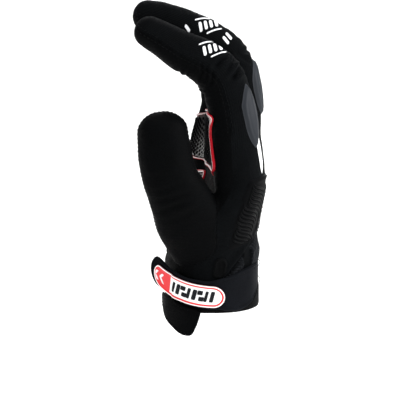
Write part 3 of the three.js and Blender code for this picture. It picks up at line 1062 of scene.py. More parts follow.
FOLDS = (
    Fold("index", Side.THUMB, ((11.8, 143), (15.5, 147), (19.4, 152.6)), 2.4, 1.5, 0.6),
    Fold("index", Side.THUMB, ((9.2, 147.6), (12.6, 152.4), (16.2, 157.4)), 1.5, 1.3, 0.5),
    Fold("index", Side.THUMB, ((2.2, 150.2), (5.4, 153.6), (8.8, 155.6)), 2, 1.4, 0.5),
    Fold("index", Side.THUMB, ((-6.4, 142.5), (-5.4, 147), (-5.8, 152)), 1.2, 0.9, 0.6),
    Fold("index", Side.THUMB, ((-3.4, 141.5), (-2.4, 147), (-3.2, 151)), 1.1, 0.9, 0.6),
    Fold("index", Side.THUMB, ((-0.6, 139), (0.8, 144), (0.4, 148)), 1, 0.9, 0.6),
    Fold("index", Side.THUMB, ((20, 128), (12, 124), (4, 126)), 0.35, 1.6, 0.4),
    Fold("index", Side.THUMB, ((-14, 150), (-18, 155.5), (-19, 162)), 0.4, 1.4, 0.4),
    Fold("index", Side.THUMB, ((-30, 159.5), (-31, 165), (-29, 171)), 0.35, 1.2, 0.4),
    Fold("middle", Side.THUMB, ((24, 150.5), (20, 153), (15, 156.5)), 1, 1.2, 0.6),
    Fold("middle", Side.BACK, ((-19, 156), (-11, 158.5), (-3, 156)), 0.8, 1.1, 0.9),
    Fold("hand", Side.THUMB, CUFF_LINE[::-1], 2.2, 1.3, 0.6),
    Fold("hand", Side.THUMB, ((26, 74), (14, 70), (4, 62)), 0.5, 2.2, 0.3),
    Fold("hand", Side.THUMB, ((22, 96), (14, 91), (8, 84)), 0.35, 1.8, 0.3),
    Fold("hand", Side.PALM, ((-30, 34), (-8, 30), (14, 33), (30, 31)), 1.1, 2, 0.5),
    Fold("hand", Side.PALM, ((28, 78), (14, 70), (2, 58), (-6, 44)), 1, 1.6, 0.5),
    Fold("hand", Side.PALM, ((34, 66), (24, 58), (14, 46)), 0.7, 1.5, 0.4),
    Fold("hand", Side.LITTLE, ((-8, 62), (4, 56), (16, 58)), 0.8, 1.6, 0.5),
    Fold("hand", Side.LITTLE, ((-14, 44), (2, 38), (20, 41)), 0.9, 1.8, 0.5),
    Fold("hand", Side.BACK, ((-34, 33), (0, 33.5), (34, 33)), -1.9, 6.5, 0),
    Fold("thumb", Side.THUMB, ((-38, 84), (-30, 86.5), (-20, 84)), 0.3, 2, 0.3),
    Fold("thumb", Side.THUMB, ((-40, 97), (-31, 99.5), (-21, 97.5)), 0.25, 1.8, 0.3),
)
JOINT_FOLDS = (
    JointFolds("index", 82, 5, 4.2, 1.4, 0.3),
    JointFolds("index", 106, 3, 3.6, 0.8, 0.2),
    JointFolds("middle", 76, 5, 4.2, 1.4, 0.35),
    JointFolds("middle", 101, 3, 3.6, 0.8, 0.2),
    JointFolds("ring", 88, 5, 4, 1.3, 0.35),
    JointFolds("ring", 109, 3, 3.4, 0.7, 0.2),
    JointFolds("little", 82, 4, 3.6, 1.1, 0.3),
    JointFolds("thumb", 62, 4, 5, 0.3, 0.5),
)


@dataclass(frozen=True)
class Facing:
    """A plane that faces away from the glove.

    turn is the way it faces, in degrees from the back of the hand towards the thumb side, tilt is how far
    it faces up, roll turns what is drawn in it, and centre is where its own origin lies.
    """

    turn: float
    centre: tuple[float, float, float]
    tilt: float = 0.0
    roll: float = 0.0
    reach: float = 60.0

    @property
    def out(self) -> Array:
        """The way that the plane faces."""
        turn, tilt = math.radians(self.turn), math.radians(self.tilt)
        return np.array([math.cos(turn) * math.cos(tilt), -math.sin(turn) * math.cos(tilt), math.sin(tilt)])

    def spread(self, places: Array) -> Array:
        """Turns places of the plane into points in space.

        Args:
            places: Rows of how far across and how far up.

        Returns:
            The points.
        """
        out = self.out
        across = unit(np.cross(UP, out))
        up = np.cross(out, across)
        c, s = math.cos(math.radians(self.roll)), math.sin(math.radians(self.roll))
        x = places[:, 0] * c - places[:, 1] * s
        y = places[:, 0] * s + places[:, 1] * c
        return np.array(self.centre) + x[:, None] * across + y[:, None] * up

    def rays(self, places: Array) -> tuple[Array, Array]:
        """Points of the plane, and the way out of the glove, which is the same for all."""
        return self.spread(places), np.tile(self.out, (len(places), 1))


@dataclass(frozen=True)
class Wrap:
    """A sheet wrapped around the hand.

    A place's first number is how far around it lies from the middle of the back, towards the thumb side,
    and its second how high.
    """

    reach: float = 36.0

    def rays(self, places: Array) -> tuple[Array, Array]:
        """The lines out of the hand on which places of the sheet lie.

        Args:
            places: Rows of how far around and how high.

        Returns:
            Points in the middle of the hand, and the ways out of it.
        """
        up = places[:, 1]
        heights = HAND.centre[:, 2]
        thick, broad = (np.interp(up, heights, HAND.size[:, axis]) for axis in (0, 1))
        lean, bow = (np.interp(up, heights, HAND.bend[:, axis]) for axis in (0, 1))
        radius = thick / 2
        flat = broad / 2 - radius
        side = -np.sign(places[:, 0])
        run = np.abs(places[:, 0])
        turn = np.maximum(run - flat, 0.0) / radius
        y = side * np.minimum(run, flat)
        across = 2 * y / broad
        x = np.interp(up, heights, HAND.centre[:, 0]) + lean * across + bow * across**2
        out = np.stack([np.cos(turn), side * np.sin(turn), np.zeros(len(up))], axis=1)
        return np.stack([x, y, up], axis=1), out


@dataclass(frozen=True)
class PalmWrap:
    """A sheet over the palm, flat in its middle and bent round both sides of the hand.

    A place's first number is how far it lies from the palm's middle, towards the thumb side, and its
    second how high.
    """

    flat: float = 27.0
    inner: float = 4.0
    bend: float = 11.0
    reach: float = 40.0

    def rays(self, places: Array) -> tuple[Array, Array]:
        """The lines out of the hand on which places of the sheet lie.

        Args:
            places: Rows of how far across and how high.

        Returns:
            Points inside the hand, and the ways out of it.
        """
        side = places[:, 0]
        level = np.clip(side, -self.flat, self.flat)
        turn = (side - level) / self.bend
        inside = np.stack([np.full(len(side), self.inner), -level, places[:, 1]], axis=1)
        return inside, np.stack([-np.cos(turn), -np.sin(turn), np.zeros(len(side))], axis=1)


Ground = Facing | Wrap | PalmWrap


@dataclass
class Skin:
    """The glove's outer surface, which the trim is laid on."""

    points: Array
    faces: Array

    def __post_init__(self) -> None:
        """Sorts the faces, so that places on them are found fast."""
        self.tree = BVHTree.FromPolygons(self.points.tolist(), self.faces.tolist())

    def lay(self, facing: Ground, places: Array) -> tuple[Array, Array]:
        """Projects places of a plane or of a wrapped sheet onto the surface.

        Args:
            facing: The plane or the wrapped sheet that the places are drawn in.
            places: Rows of how far across and how far up.

        Returns:
            Points of the surface, and its outward directions there.
        """
        starts, ways = facing.rays(places)
        points = np.zeros((len(places), 3))
        normals = np.zeros((len(places), 3))
        for i, (start, way) in enumerate(zip(starts.tolist(), ways.tolist())):
            spot = Vector(start)
            outward = Vector(way)
            away = outward * facing.reach
            hit, normal, _, _ = self.tree.ray_cast(spot + away, -outward, 2 * facing.reach)
            if hit is None:
                hit, normal, _, _ = self.tree.find_nearest(spot)
            points[i] = hit
            normals[i] = normal
        return points, normals

    def nearest(self, places: Array) -> tuple[Array, Array, Array]:
        """Finds the nearest points of the surface.

        Args:
            places: Points near the surface.

        Returns:
            The nearest points, the outward directions there, and how far off they are.
        """
        found = [self.tree.find_nearest(Vector(place.tolist())) for place in places]
        points = np.array([hit for hit, _, _, _ in found])
        normals = np.array([normal for _, normal, _, _ in found])
        return points, normals, np.array([distance for _, _, _, distance in found])


@dataclass
class Shell:
    """The sewn shell: hand, fingers and thumb in one smooth hollow form, folded where the hand bends."""

    voxel: float = 1.1
    quick_voxel: float = 1.7
    wall: float = 1.6
    mouth: float = 2.0
    seam_angle: float = 98.0
    thumb_seam_angle: float = 96.0
    palm_angle: float = 112.0
    seam_start: float = 0.3
    seam_width: float = 0.9
    seam_depth: float = 0.45
    lip_height: float = 0.22
    lip_place: float = 2.0
    lip_width: float = 1.1
    relax_rounds: int = 7
    ripple: float = 0.28
    ripple_scales: tuple[float, float] = (0.11, 0.27)
    ripple_from: tuple[float, float] = (20.0, 34.0)
    strap_dent: float = 0.2
    cuff_from: float = 4.0

    def form(self) -> tuple[Array, Array]:
        """Joins the lofts and remeshes them evenly.

        Returns:
            The points of the joined form, and its faces, which are all quads.
        """
        points: list[Array] = []
        faces: list[tuple[int, ...]] = []
        count = 0
        for loft in LOFTS.values():
            some, quads = loft.closed_mesh()
            faces += [tuple(count + v for v in quad) for quad in quads]
            points.append(some)
            count += len(some)
        rough = mesh_object("form", np.vstack(points), faces, [])
        remesh = rough.modifiers.new("even", "REMESH")
        remesh.mode = "VOXEL"
        remesh.voxel_size = self.voxel * MM
        even = bpy.data.meshes.new_from_object(rough.evaluated_get(bpy.context.evaluated_depsgraph_get()))
        places = np.zeros(len(even.vertices) * 3)
        even.vertices.foreach_get("co", places)
        corners = np.zeros(len(even.polygons) * 4, np.int32)
        even.polygons.foreach_get("vertices", corners)
        bpy.data.objects.remove(rough)
        return places.reshape(-1, 3) / MM, corners.reshape(-1, 4)

    def relax(self, points: Array, faces: Array, rounds: int, share: float = 0.5) -> Array:
        """Evens out the rows of numbers that belong to the points of a mesh.

        Args:
            points: A row for each point, such as its place.
            faces: The mesh's quads.
            rounds: How many times each row moves towards the mean of its neighbours.
            share: How far it moves each time, as a share of the way.

        Returns:
            The evened rows.
        """
        edges = quad_edges(faces)
        count = np.bincount(edges.ravel(), minlength=len(points))[:, None]
        values = points.copy()
        for _ in range(rounds):
            total = np.zeros_like(values)
            for axis in range(values.shape[1]):
                total[:, axis] = np.bincount(edges[:, 0], values[edges[:, 1], axis], len(points))
                total[:, axis] += np.bincount(edges[:, 1], values[edges[:, 0], axis], len(points))
            values += share * (total / np.maximum(count, 1) - values)
        return values

    def normals(self, points: Array, faces: Array) -> Array:
        """Works out which way is out.

        Args:
            points: The mesh's points.
            faces: Its quads.

        Returns:
            The outward direction at each point.
        """
        p = points[faces]
        face = np.cross(p[:, 2] - p[:, 0], p[:, 3] - p[:, 1])
        total = np.zeros_like(points)
        for corner in range(4):
            for axis in range(3):
                total[:, axis] += np.bincount(faces[:, corner], face[:, axis], len(points))
        return unit(total)

    def seam_routes(self) -> dict[str, Array]:
        """The seams that run up one side of each finger, over its tip and down the other side.

        Returns:
            The points of each seam, under the name of its finger or the thumb.
        """
        routes = {}
        for name in (*FINGERS, "thumb"):
            loft = LOFTS[name]
            angle = math.radians(self.thumb_seam_angle if name == "thumb" else self.seam_angle)
            rise = np.arange(int(loft.samples * self.seam_start), loft.samples)
            turns = np.linspace(0, math.pi / 2, 14)[1:-1]
            last = np.full(len(turns), loft.samples - 1)
            parts = []
            for side, order in ((1, 1), (-1, -1)):
                shaft = loft.points(rise, np.full(len(rise), side * angle))
                turned = np.full(len(turns), side * angle)
                dome = loft.points(last, turned, loft.tip * np.sin(turns), np.cos(turns))
                parts.append(np.vstack([shaft, dome])[::order])
            routes[name] = np.vstack(parts)
        return routes

    def seam_distance(self, points: Array, name: str, route: Array) -> Array:
        """How far a finger's or the thumb's points lie from its seam.

        Args:
            points: The points of the shell.
            name: The finger or the thumb.
            route: The seam's points.

        Returns:
            The distances, which are endless where a point isn't on that finger's surface.
        """
        index = FORMS.index(name)
        chosen = np.flatnonzero((np.abs(self.ratio[index] - 1) < 0.2) & (self.owner == index))
        distance = np.full(len(points), np.inf)
        for start in range(0, len(chosen), CHUNK):
            some = chosen[start : start + CHUNK]
            distance[some] = np.linalg.norm(points[some][:, None] - route[None], axis=2).min(axis=1)
        return distance

    def folded(self, points: Array, faces: Array) -> Array:
        """The form with its folds, seams and ripples.

        Args:
            points: The form's points.
            faces: Its quads.

        Returns:
            The moved points.
        """
        normals = self.normals(points, faces)
        push = np.zeros(len(points))
        for fold in FOLDS:
            push += fold.depth(points, normals, self.owner)
        for folds in JOINT_FOLDS:
            index = FORMS.index(folds.form)
            push += folds.depth(self.run[index], self.angle[index], self.owner)
        for name, route in self.seam_routes().items():
            distance = self.seam_distance(points, name, route)
            push -= self.seam_depth * mound(distance, 0.0, self.seam_width)
            push += self.lip_height * mound(distance, self.lip_place, self.lip_width)
        broad, fine = (np.array([noise.noise(Vector(point) * scale) for point in points.tolist()])
                       for scale in self.ripple_scales)
        push += self.ripple * (broad + 0.5 * fine)
        free = smoothstep(*self.ripple_from, points[:, 2])
        push = np.where(push < 0, push, push * (0.15 + 0.85 * free)) - self.strap_dent * (1 - free)
        return points + normals * push[:, None]

    def weave(self, points: Array) -> Array:
        """Where each point lies in the cloth.

        Args:
            points: The shell's points.

        Returns:
            How far around and how far along each lies, in millimetres, and a zero.
        """
        cloth = np.zeros((len(points), 3))
        for i, (name, loft) in enumerate(LOFTS.items()):
            mine = self.owner == i
            reach = (loft.size[:, 0].mean() + loft.size[:, 1].mean()) / 4
            if name == "hand":
                cloth[mine, 0] = points[mine, 1]
                cloth[mine, 1] = points[mine, 2]
            else:
                cloth[mine, 0] = loft.centre[0, 1] + self.angle[i][mine] * reach
                cloth[mine, 1] = loft.centre[0, 2] + self.run[i][mine]
        return cloth

    def cut_open(self, points: Array, faces: Array) -> Array:
        """Opens the form at the wrist.

        Args:
            points: The form's points, of which those on the rim are levelled.
            faces: Its quads.

        Returns:
            The quads that lie above the opening.
        """
        kept = faces[(points[faces][:, :, 2] > self.mouth).all(axis=1)]
        edges = np.sort(quad_edges(kept), axis=1)
        _, first, count = np.unique(edges, axis=0, return_index=True, return_counts=True)
        rim = np.unique(edges[first[count == 1]])
        points[rim, 2] = self.mouth
        return kept

    def build(self) -> None:
        """Builds the shell and the thumb, and keeps the skins that the trim is laid on."""
        points, faces = self.form()
        points = self.relax(points, faces, self.relax_rounds, 0.5)
        located = [loft.locate(points) for loft in LOFTS.values()]
        self.run = [run for run, _, _ in located]
        self.angle = [angle for _, angle, _ in located]
        self.ratio = np.array([ratio for _, _, ratio in located])
        self.owner = self.ratio.argmin(axis=0)
        points = self.folded(points, faces)
        points = self.relax(points, faces, 1, 0.35)
        faces = self.cut_open(points, faces)
        thumb = FORMS.index("thumb")
        others = np.delete(self.ratio, thumb, axis=0).min(axis=0)
        lead = self.relax((self.ratio[thumb] - others)[:, None], faces, 5)[:, 0]
        is_thumb = lead[faces].mean(axis=1) < 0
        weave = self.weave(points)
        self.skin = Skin(points, faces[~is_thumb])
        self.all_skin = Skin(points, faces)
        zones = self.zones(points, faces)
        finishes = [finish_of(ZONE_FINISHES[zone]) for zone in Zone]
        stalls = [f"{name}_stall" for name in FINGERS]
        for name, slot, chosen, nodes in (
            ("glove_shell", "stretch_cloth", ~is_thumb, ["hand_body", *stalls]),
            ("glove_thumb", "palm_leather", is_thumb, ["thumb_stall"]),
        ):
            used, numbers = np.unique(faces[chosen], return_inverse=True)
            quads = numbers.reshape(-1, 4)
            piece = mesh_object(name, points[used], quads, finishes, zones[chosen], {"weave": weave[used]})
            solid = piece.modifiers.new("wall", "SOLIDIFY")
            solid.thickness = self.wall * MM
            solid.offset = -1.0
            solid.use_even_offset = False
            solid.use_rim = True
            solid.material_offset = Zone.LINING.value
            place(piece, slot, *nodes)

    def zones(self, points: Array, faces: Array) -> Array:
        """The cloth of each face: leather on the palm side and the thumb, and mesh knit on the cuff.

        Args:
            points: The shell's points.
            faces: Its quads.

        Returns:
            The number of each face's zone.
        """
        zone = np.zeros(len(points), int)
        for i, name in enumerate(LOFTS):
            mine = self.owner == i
            wide = self.palm_angle if name == "hand" else self.seam_angle
            palm = np.abs(np.degrees(self.angle[i])) > wide
            zone[mine & (palm | (name == "thumb"))] = Zone.LEATHER.value
        x, z = points[:, 0], points[:, 2]
        hand = self.owner == FORMS.index("hand")
        below = z < np.interp(x, *np.array(CUFF_LINE).T)
        zone[hand & below & (x > self.cuff_from) & (zone == Zone.KNIT.value)] = Zone.CUFF.value
        return np.sort(zone[faces], axis=1)[:, 1]


# Laying trim on the glove


def even_outline(points: Array, count: int) -> Array:
    """A closed outline read off at even steps.

    Args:
        points: The outline's corners.
        count: How many points to return.

    Returns:
        The points, counter-clockwise as seen from outside the glove.
    """
    ring = np.vstack([points, points[:1]])
    x, y = ring[:, 0], ring[:, 1]
    if np.sum(x[:-1] * y[1:] - x[1:] * y[:-1]) < 0:
        ring = ring[::-1]
    run = run_along(ring)
    return read_off(np.linspace(0, run[-1], count, endpoint=False), run, ring)


def bezier(start: Array, pull: Array, end: Array, count: int = 12) -> Array:
    """A quadratic curve from start towards end, without its last point."""
    t = np.linspace(0, 1, count, endpoint=False)[:, None]
    return (1 - t) ** 2 * start + 2 * t * (1 - t) * pull + t**2 * end


def leaf_outline(length: float, width: float, widest: float, count: int = 84) -> Array:
    """A leaf that is pointed at both ends.

    Args:
        length: How long it is.
        width: How wide it is.
        widest: Where it is widest, as a share of its length from below.
        count: How many points to return.

    Returns:
        The outline's points.
    """
    low, top = -length / 2, length / 2
    middle = low + length * widest
    pulls = (low + (middle - low) * 0.25, middle + (top - middle) * 0.6)
    right = [
        bezier(np.array([0, low]), np.array([width / 2, pulls[0]]), np.array([width / 2, middle])),
        bezier(np.array([width / 2, middle]), np.array([width / 2, pulls[1]]), np.array([0, top])),
    ]
    half = np.vstack([*right, [[0, top]]])
    left = half[::-1][1:-1] * (-1, 1)
    return even_outline(np.vstack([half, left]), count)


def rounded_outline(
    corners: Sequence[tuple[float, float]], share: float, grow: float = 0.0, count: int = 160
) -> Array:
    """An outline through corners, each rounded from a share of the way along its two sides.

    Args:
        corners: How far across and how far up each corner lies.
        share: Where the rounding starts, as a share of a side.
        grow: How far every corner is moved away from the outline's middle.
        count: How many points to return.

    Returns:
        The outline's points.
    """
    places = np.array(corners, float)
    places = places + unit(places - places.mean(axis=0)) * grow
    parts = []
    for i, corner in enumerate(places):
        before = places[i - 1]
        after = places[(i + 1) % len(places)]
        parts.append(bezier(corner + (before - corner) * share, corner, corner + (after - corner) * share))
        parts.append((corner + (after - corner) * share)[None])
    return even_outline(np.vstack(parts), count)


def bar_outline(width: float, height: float, slant: float, count: int = 24) -> Array:
    """A slanted bar.

    Args:
        width: Its width.
        height: Its height.
        slant: How far right of its lower end its upper end lies.
        count: How many points to return.

    Returns:
        The outline's points.
    """
    half_w, half_h = width / 2, height / 2
    corners = ((-half_w - slant / 2, -half_h), (half_w - slant / 2, -half_h),
               (half_w + slant / 2, half_h), (-half_w + slant / 2, half_h))
    return rounded_outline(corners, 0.12, 0.0, count)


def rim_distance(places: Array, outline: Array) -> Array:
    """How far places lie from a closed outline."""
    return segment_distance(places, np.vstack([outline, outline[:1]]))[0]


def inside_of(spots: Array, outline: Array) -> Array:
    """Tests which spots lie inside a closed outline.

    Args:
        spots: The spots.
        outline: The outline's points.

    Returns:
        Whether each spot does.
    """
    crossings = np.zeros(len(spots), int)
    for a, b in zip(outline, np.roll(outline, -1, axis=0)):
        straddles = (a[1] > spots[:, 1]) != (b[1] > spots[:, 1])
        at = a[0] + (spots[:, 1] - a[1]) / (b[1] - a[1] + 1e-12) * (b[0] - a[0])
        crossings += straddles & (spots[:, 0] < at)
    return crossings % 2 == 1


def soften(grid: Array, rounds: int) -> Array:
    """Evens out a grid of rings, which close on themselves along the second axis.

    Args:
        grid: The rings, a point or a direction at each place.
        rounds: How many times it is evened.

    Returns:
        The evened grid.
    """
    values = grid.copy()
    for _ in range(rounds):
        around = (np.roll(values, 1, axis=1) + np.roll(values, -1, axis=1)) / 2
        padded = np.concatenate([values[:1], values, values[-1:]])
        across = (padded[:-2] + padded[2:]) / 2
        values = 0.5 * values + 0.25 * around + 0.25 * across
    return values


@dataclass
class Patch:
    """A thin raised piece laid on the glove, whose outline is drawn in a facing's plane."""

    outline: Array
    facing: Ground
    rings: int = 12
    sink: float = 0.35
    even_rounds: int = 3
    inner_share: float = 0.86
    edge_shares: tuple[float, ...] = (0.92, 0.96, 0.985, 1.0)

    def build(
        self, name: str, skin: Skin, height: Callable[[Array, Array], Array], finish: Finish
    ) -> Piece:
        """Builds the piece as a closed solid.

        Args:
            name: The piece's name.
            skin: The surface that it lies on.
            height: Its height over the surface, from places on the plane and their distance to the rim.
            finish: Its finish.

        Returns:
            The piece.
        """
        middle = self.outline.mean(axis=0)
        shares = np.concatenate([np.linspace(0.0, self.inner_share, self.rings), self.edge_shares])
        places = middle + shares[:, None, None] * (self.outline - middle)
        flat = places.reshape(-1, 2)
        points, normals = skin.lay(self.facing, flat)
        shape = (len(shares), len(self.outline), 3)
        points = soften(points.reshape(shape), self.even_rounds)
        normals = unit(soften(normals.reshape(shape), self.even_rounds + 4))
        rim = rim_distance(flat, self.outline)
        lift = height(flat, rim).reshape(shape[:2])[:, :, None]
        top = points + normals * lift
        under = points - normals * self.sink
        top[0] = top[0].mean(axis=0)
        under[0] = under[0].mean(axis=0)
        return self.solid(name, top, under, np.hstack([flat, rim[:, None]]), finish)

    def solid(self, name: str, top: Array, under: Array, marks: Array, finish: Finish) -> Piece:
        """Joins an upper and a lower grid of rings along their rims.

        Args:
            name: The piece's name.
            top: The upper grid, whose first ring is a single spot.
            under: The lower grid, made in the same way.
            marks: The mark at each place of a grid.
            finish: The piece's finish.

        Returns:
            The piece.
        """
        rings, around, _ = top.shape
        number = np.arange(rings * around).reshape(rings, around)
        number[0] = 0
        below = number + rings * around
        faces: list[tuple[int, ...]] = []
        for i in range(rings - 1):
            for j in range(around):
                k = (j + 1) % around
                if i == 0:
                    faces.append((number[0, 0], number[1, j], number[1, k]))
                    faces.append((below[0, 0], below[1, k], below[1, j]))
                else:
                    faces.append((number[i, j], number[i + 1, j], number[i + 1, k], number[i, k]))
                    faces.append((below[i, j], below[i, k], below[i + 1, k], below[i + 1, j]))
        for j in range(around):
            k = (j + 1) % around
            faces.append((number[-1, j], below[-1, j], below[-1, k], number[-1, k]))
        points = np.vstack([top.reshape(-1, 3), under.reshape(-1, 3)])
        used, numbers = np.unique([v for face in faces for v in face], return_inverse=True)
        lengths = np.cumsum([len(face) for face in faces])[:-1]
        packed = np.split(numbers, lengths)
        return marked_object(name, points[used], packed, finish, np.vstack([marks, marks])[used])


def joined(pieces: Sequence[Piece], name: str) -> Piece:
    """Joins several mesh objects in one.

    Args:
        pieces: The objects, which are removed.
        name: The new object's name.

    Returns:
        The new object, with the first one's finishes.
    """
    points: list[Array] = []
    marks: list[Array] = []
    faces: list[Array] = []
    count = 0
    for piece in pieces:
        mesh = piece.data
        size = len(mesh.vertices)
        places = np.zeros(size * 3)
        mesh.vertices.foreach_get("co", places)
        values = np.zeros(size * 3, np.float32)
        if "patch" in mesh.attributes:
            mesh.attributes["patch"].data.foreach_get("vector", values)
        points.append(places.reshape(-1, 3) / MM)
        marks.append(values.reshape(-1, 3))
        faces += [np.array(face.vertices) + count for face in mesh.polygons]
        count += size
    materials = list(pieces[0].data.materials)
    for piece in pieces:
        bpy.data.objects.remove(piece)
    return mesh_object(name, np.vstack(points), faces, materials, None, {"patch": np.vstack(marks)})


def cords_on(
    name: str,
    paths: Sequence[tuple[Array, Array]],
    width: float,
    height: float,
    finish: Finish,
    sink: float = 0.3,
    blunt: float = 4.0,
) -> Piece:
    """Low rounded bars that follow paths on a surface, joined in one mesh.

    Args:
        name: The mesh's name.
        paths: For each bar, its points and the outward directions there.
        width: How wide a bar is.
        height: How high it stands.
        finish: Its finish.
        sink: How deep its foot goes under the surface.
        blunt: How square its ends are.

    Returns:
        The mesh object.
    """
    arch = np.linspace(0, math.pi, 6)
    section = [(math.cos(a), math.sin(a)) for a in arch] + [(-0.8, -sink / height), (0.8, -sink / height)]
    sides = len(section)
    points: list[Array] = []
    marks: list[Array] = []
    faces: list[tuple[int, ...]] = []
    count = 0
    for line, out in paths:
        along = unit(np.gradient(line, axis=0))
        across = unit(np.cross(along, out))
        share = np.linspace(-1, 1, len(line))
        size = np.maximum(1 - np.abs(share) ** blunt, 0.04) ** 0.5
        rings = []
        for x, y in section:
            rise = y * height * np.where(y > 0, size, 1)
            rings.append(line + across * (x * width / 2 * size)[:, None] + out * rise[:, None])
        tube = np.stack(rings, axis=1).reshape(-1, 3)
        faces += [tuple(count + v for v in face) for face in tube_faces(len(line), sides)]
        points.append(tube)
        marks.append(np.tile([[0.0, 0.0, 0.8]], (len(tube), 1)))
        count += len(tube)
    return marked_object(name, np.vstack(points), faces, finish, np.vstack(marks))


@dataclass(frozen=True)
class Stitching:
    """Rows of short stitches."""

    pitch: float = 2.6
    length: float = 1.9
    thick: float = 0.5

    def along(self, line: Array, out: Array) -> list[tuple[Array, Array]]:
        """Spaces stitches along one line on a surface.

        Args:
            line: The line's points.
            out: The outward directions there.

        Returns:
            A short bar for each stitch, as cords_on takes them.
        """
        run = run_along(line)
        bars = []
        for middle in np.arange(self.pitch, run[-1] - self.pitch / 2, self.pitch):
            at = middle + np.linspace(-0.5, 0.5, 4) * self.length
            bars.append((read_off(at, run, line), unit(read_off(at, run, out))))
        return bars

    def sew(self, name: str, rows: Sequence[tuple[Array, Array]]) -> Piece:
        """The stitches of several lines as one mesh."""
        bars = [bar for line, out in rows for bar in self.along(line, out)]
        return cords_on(name, bars, self.thick, self.thick * 0.6, THREAD, 0.15, 2.0)


# Trim


@dataclass(frozen=True)
class Leaf:
    """A pointed leaf on a facing's plane."""

    facing: Facing
    length: float
    width: float


@dataclass
class KnuckleGuards:
    """The moulded grey leaves over the finger roots, each with a pale tip below it."""

    thick: float = 1.8
    bevel: float = 1.7
    ridge: float = 0.5
    leaf_widest: float = 0.58
    tip_thick: float = 1.2
    tip_widest: float = 0.72
    groove: float = 0.22
    guards: dict[str, Leaf] = field(default_factory=lambda: {
        "index": Leaf(Facing(18, (12.5, -35.4, 119.2), 6, 5), 40, 11),
        "middle": Leaf(Facing(5, (13, -10.5, 132), 14), 35, 14),
        "ring": Leaf(Facing(0, (6, 11.3, 119.5), 12), 38, 13.5),
        "little": Leaf(Facing(-30, (2, 32.5, 105.5), 8, 4), 33, 12.5),
    })
    tips: dict[str, Leaf] = field(default_factory=lambda: {
        "index": Leaf(Facing(20, (15, -30, 97), 0, 4), 24, 4),
        "middle": Leaf(Facing(0, (15, -10, 98.5)), 24, 4.2),
        "ring": Leaf(Facing(-4, (12, 11, 92)), 22, 4),
        "little": Leaf(Facing(-14, (5, 29, 80.5), 0, -4), 19, 3.8),
    })

    def guard_height(self, places: Array, rim: Array) -> Array:
        """A bevelled leaf with a soft ridge down its middle and a shallow groove inside its rim.

        Args:
            places: Places on the leaf's plane.
            rim: Their distance to its rim.

        Returns:
            The height over the surface at each place.
        """
        body = 0.3 + 0.7 * smoothstep(0.0, self.bevel, rim)
        groove = self.groove * mound(rim, 2.3, 0.45)
        ridge = self.ridge * mound(places[:, 0], 0.0, 1.5) * smoothstep(0.5, 3.0, rim)
        return self.thick * body - groove + ridge - 0.25

    def tip_height(self, places: Array, rim: Array) -> Array:
        """A rounded sliver."""
        return self.tip_thick * (0.35 + 0.65 * smoothstep(0.0, 1.3, rim)) - 0.1

    def build(self, skin: Skin) -> None:
        """Builds the guards and their tips.

        Args:
            skin: The surface that they are laid on.
        """
        for name, leaf in self.guards.items():
            patch = Patch(leaf_outline(leaf.length, leaf.width, self.leaf_widest), leaf.facing, 14)
            guard = patch.build(f"guard_{name}", skin, self.guard_height, GREY_RUBBER)
            place(guard, "grey_rubber", f"knuckle_guard_{name}")
            tip = self.tips[name]
            patch = Patch(leaf_outline(tip.length, tip.width, self.tip_widest, 56), tip.facing, 6)
            sliver = patch.build(f"tip_{name}", skin, self.tip_height, WHITE_RUBBER)
            place(sliver, "white_rubber", f"guard_tip_{name}")


@dataclass(frozen=True)
class RibBlock:
    """A stack of hooked ribs: where its lowest one starts, how many there are, and how long they run."""

    start: float
    up: float
    count: int
    stretch: float = 1.0


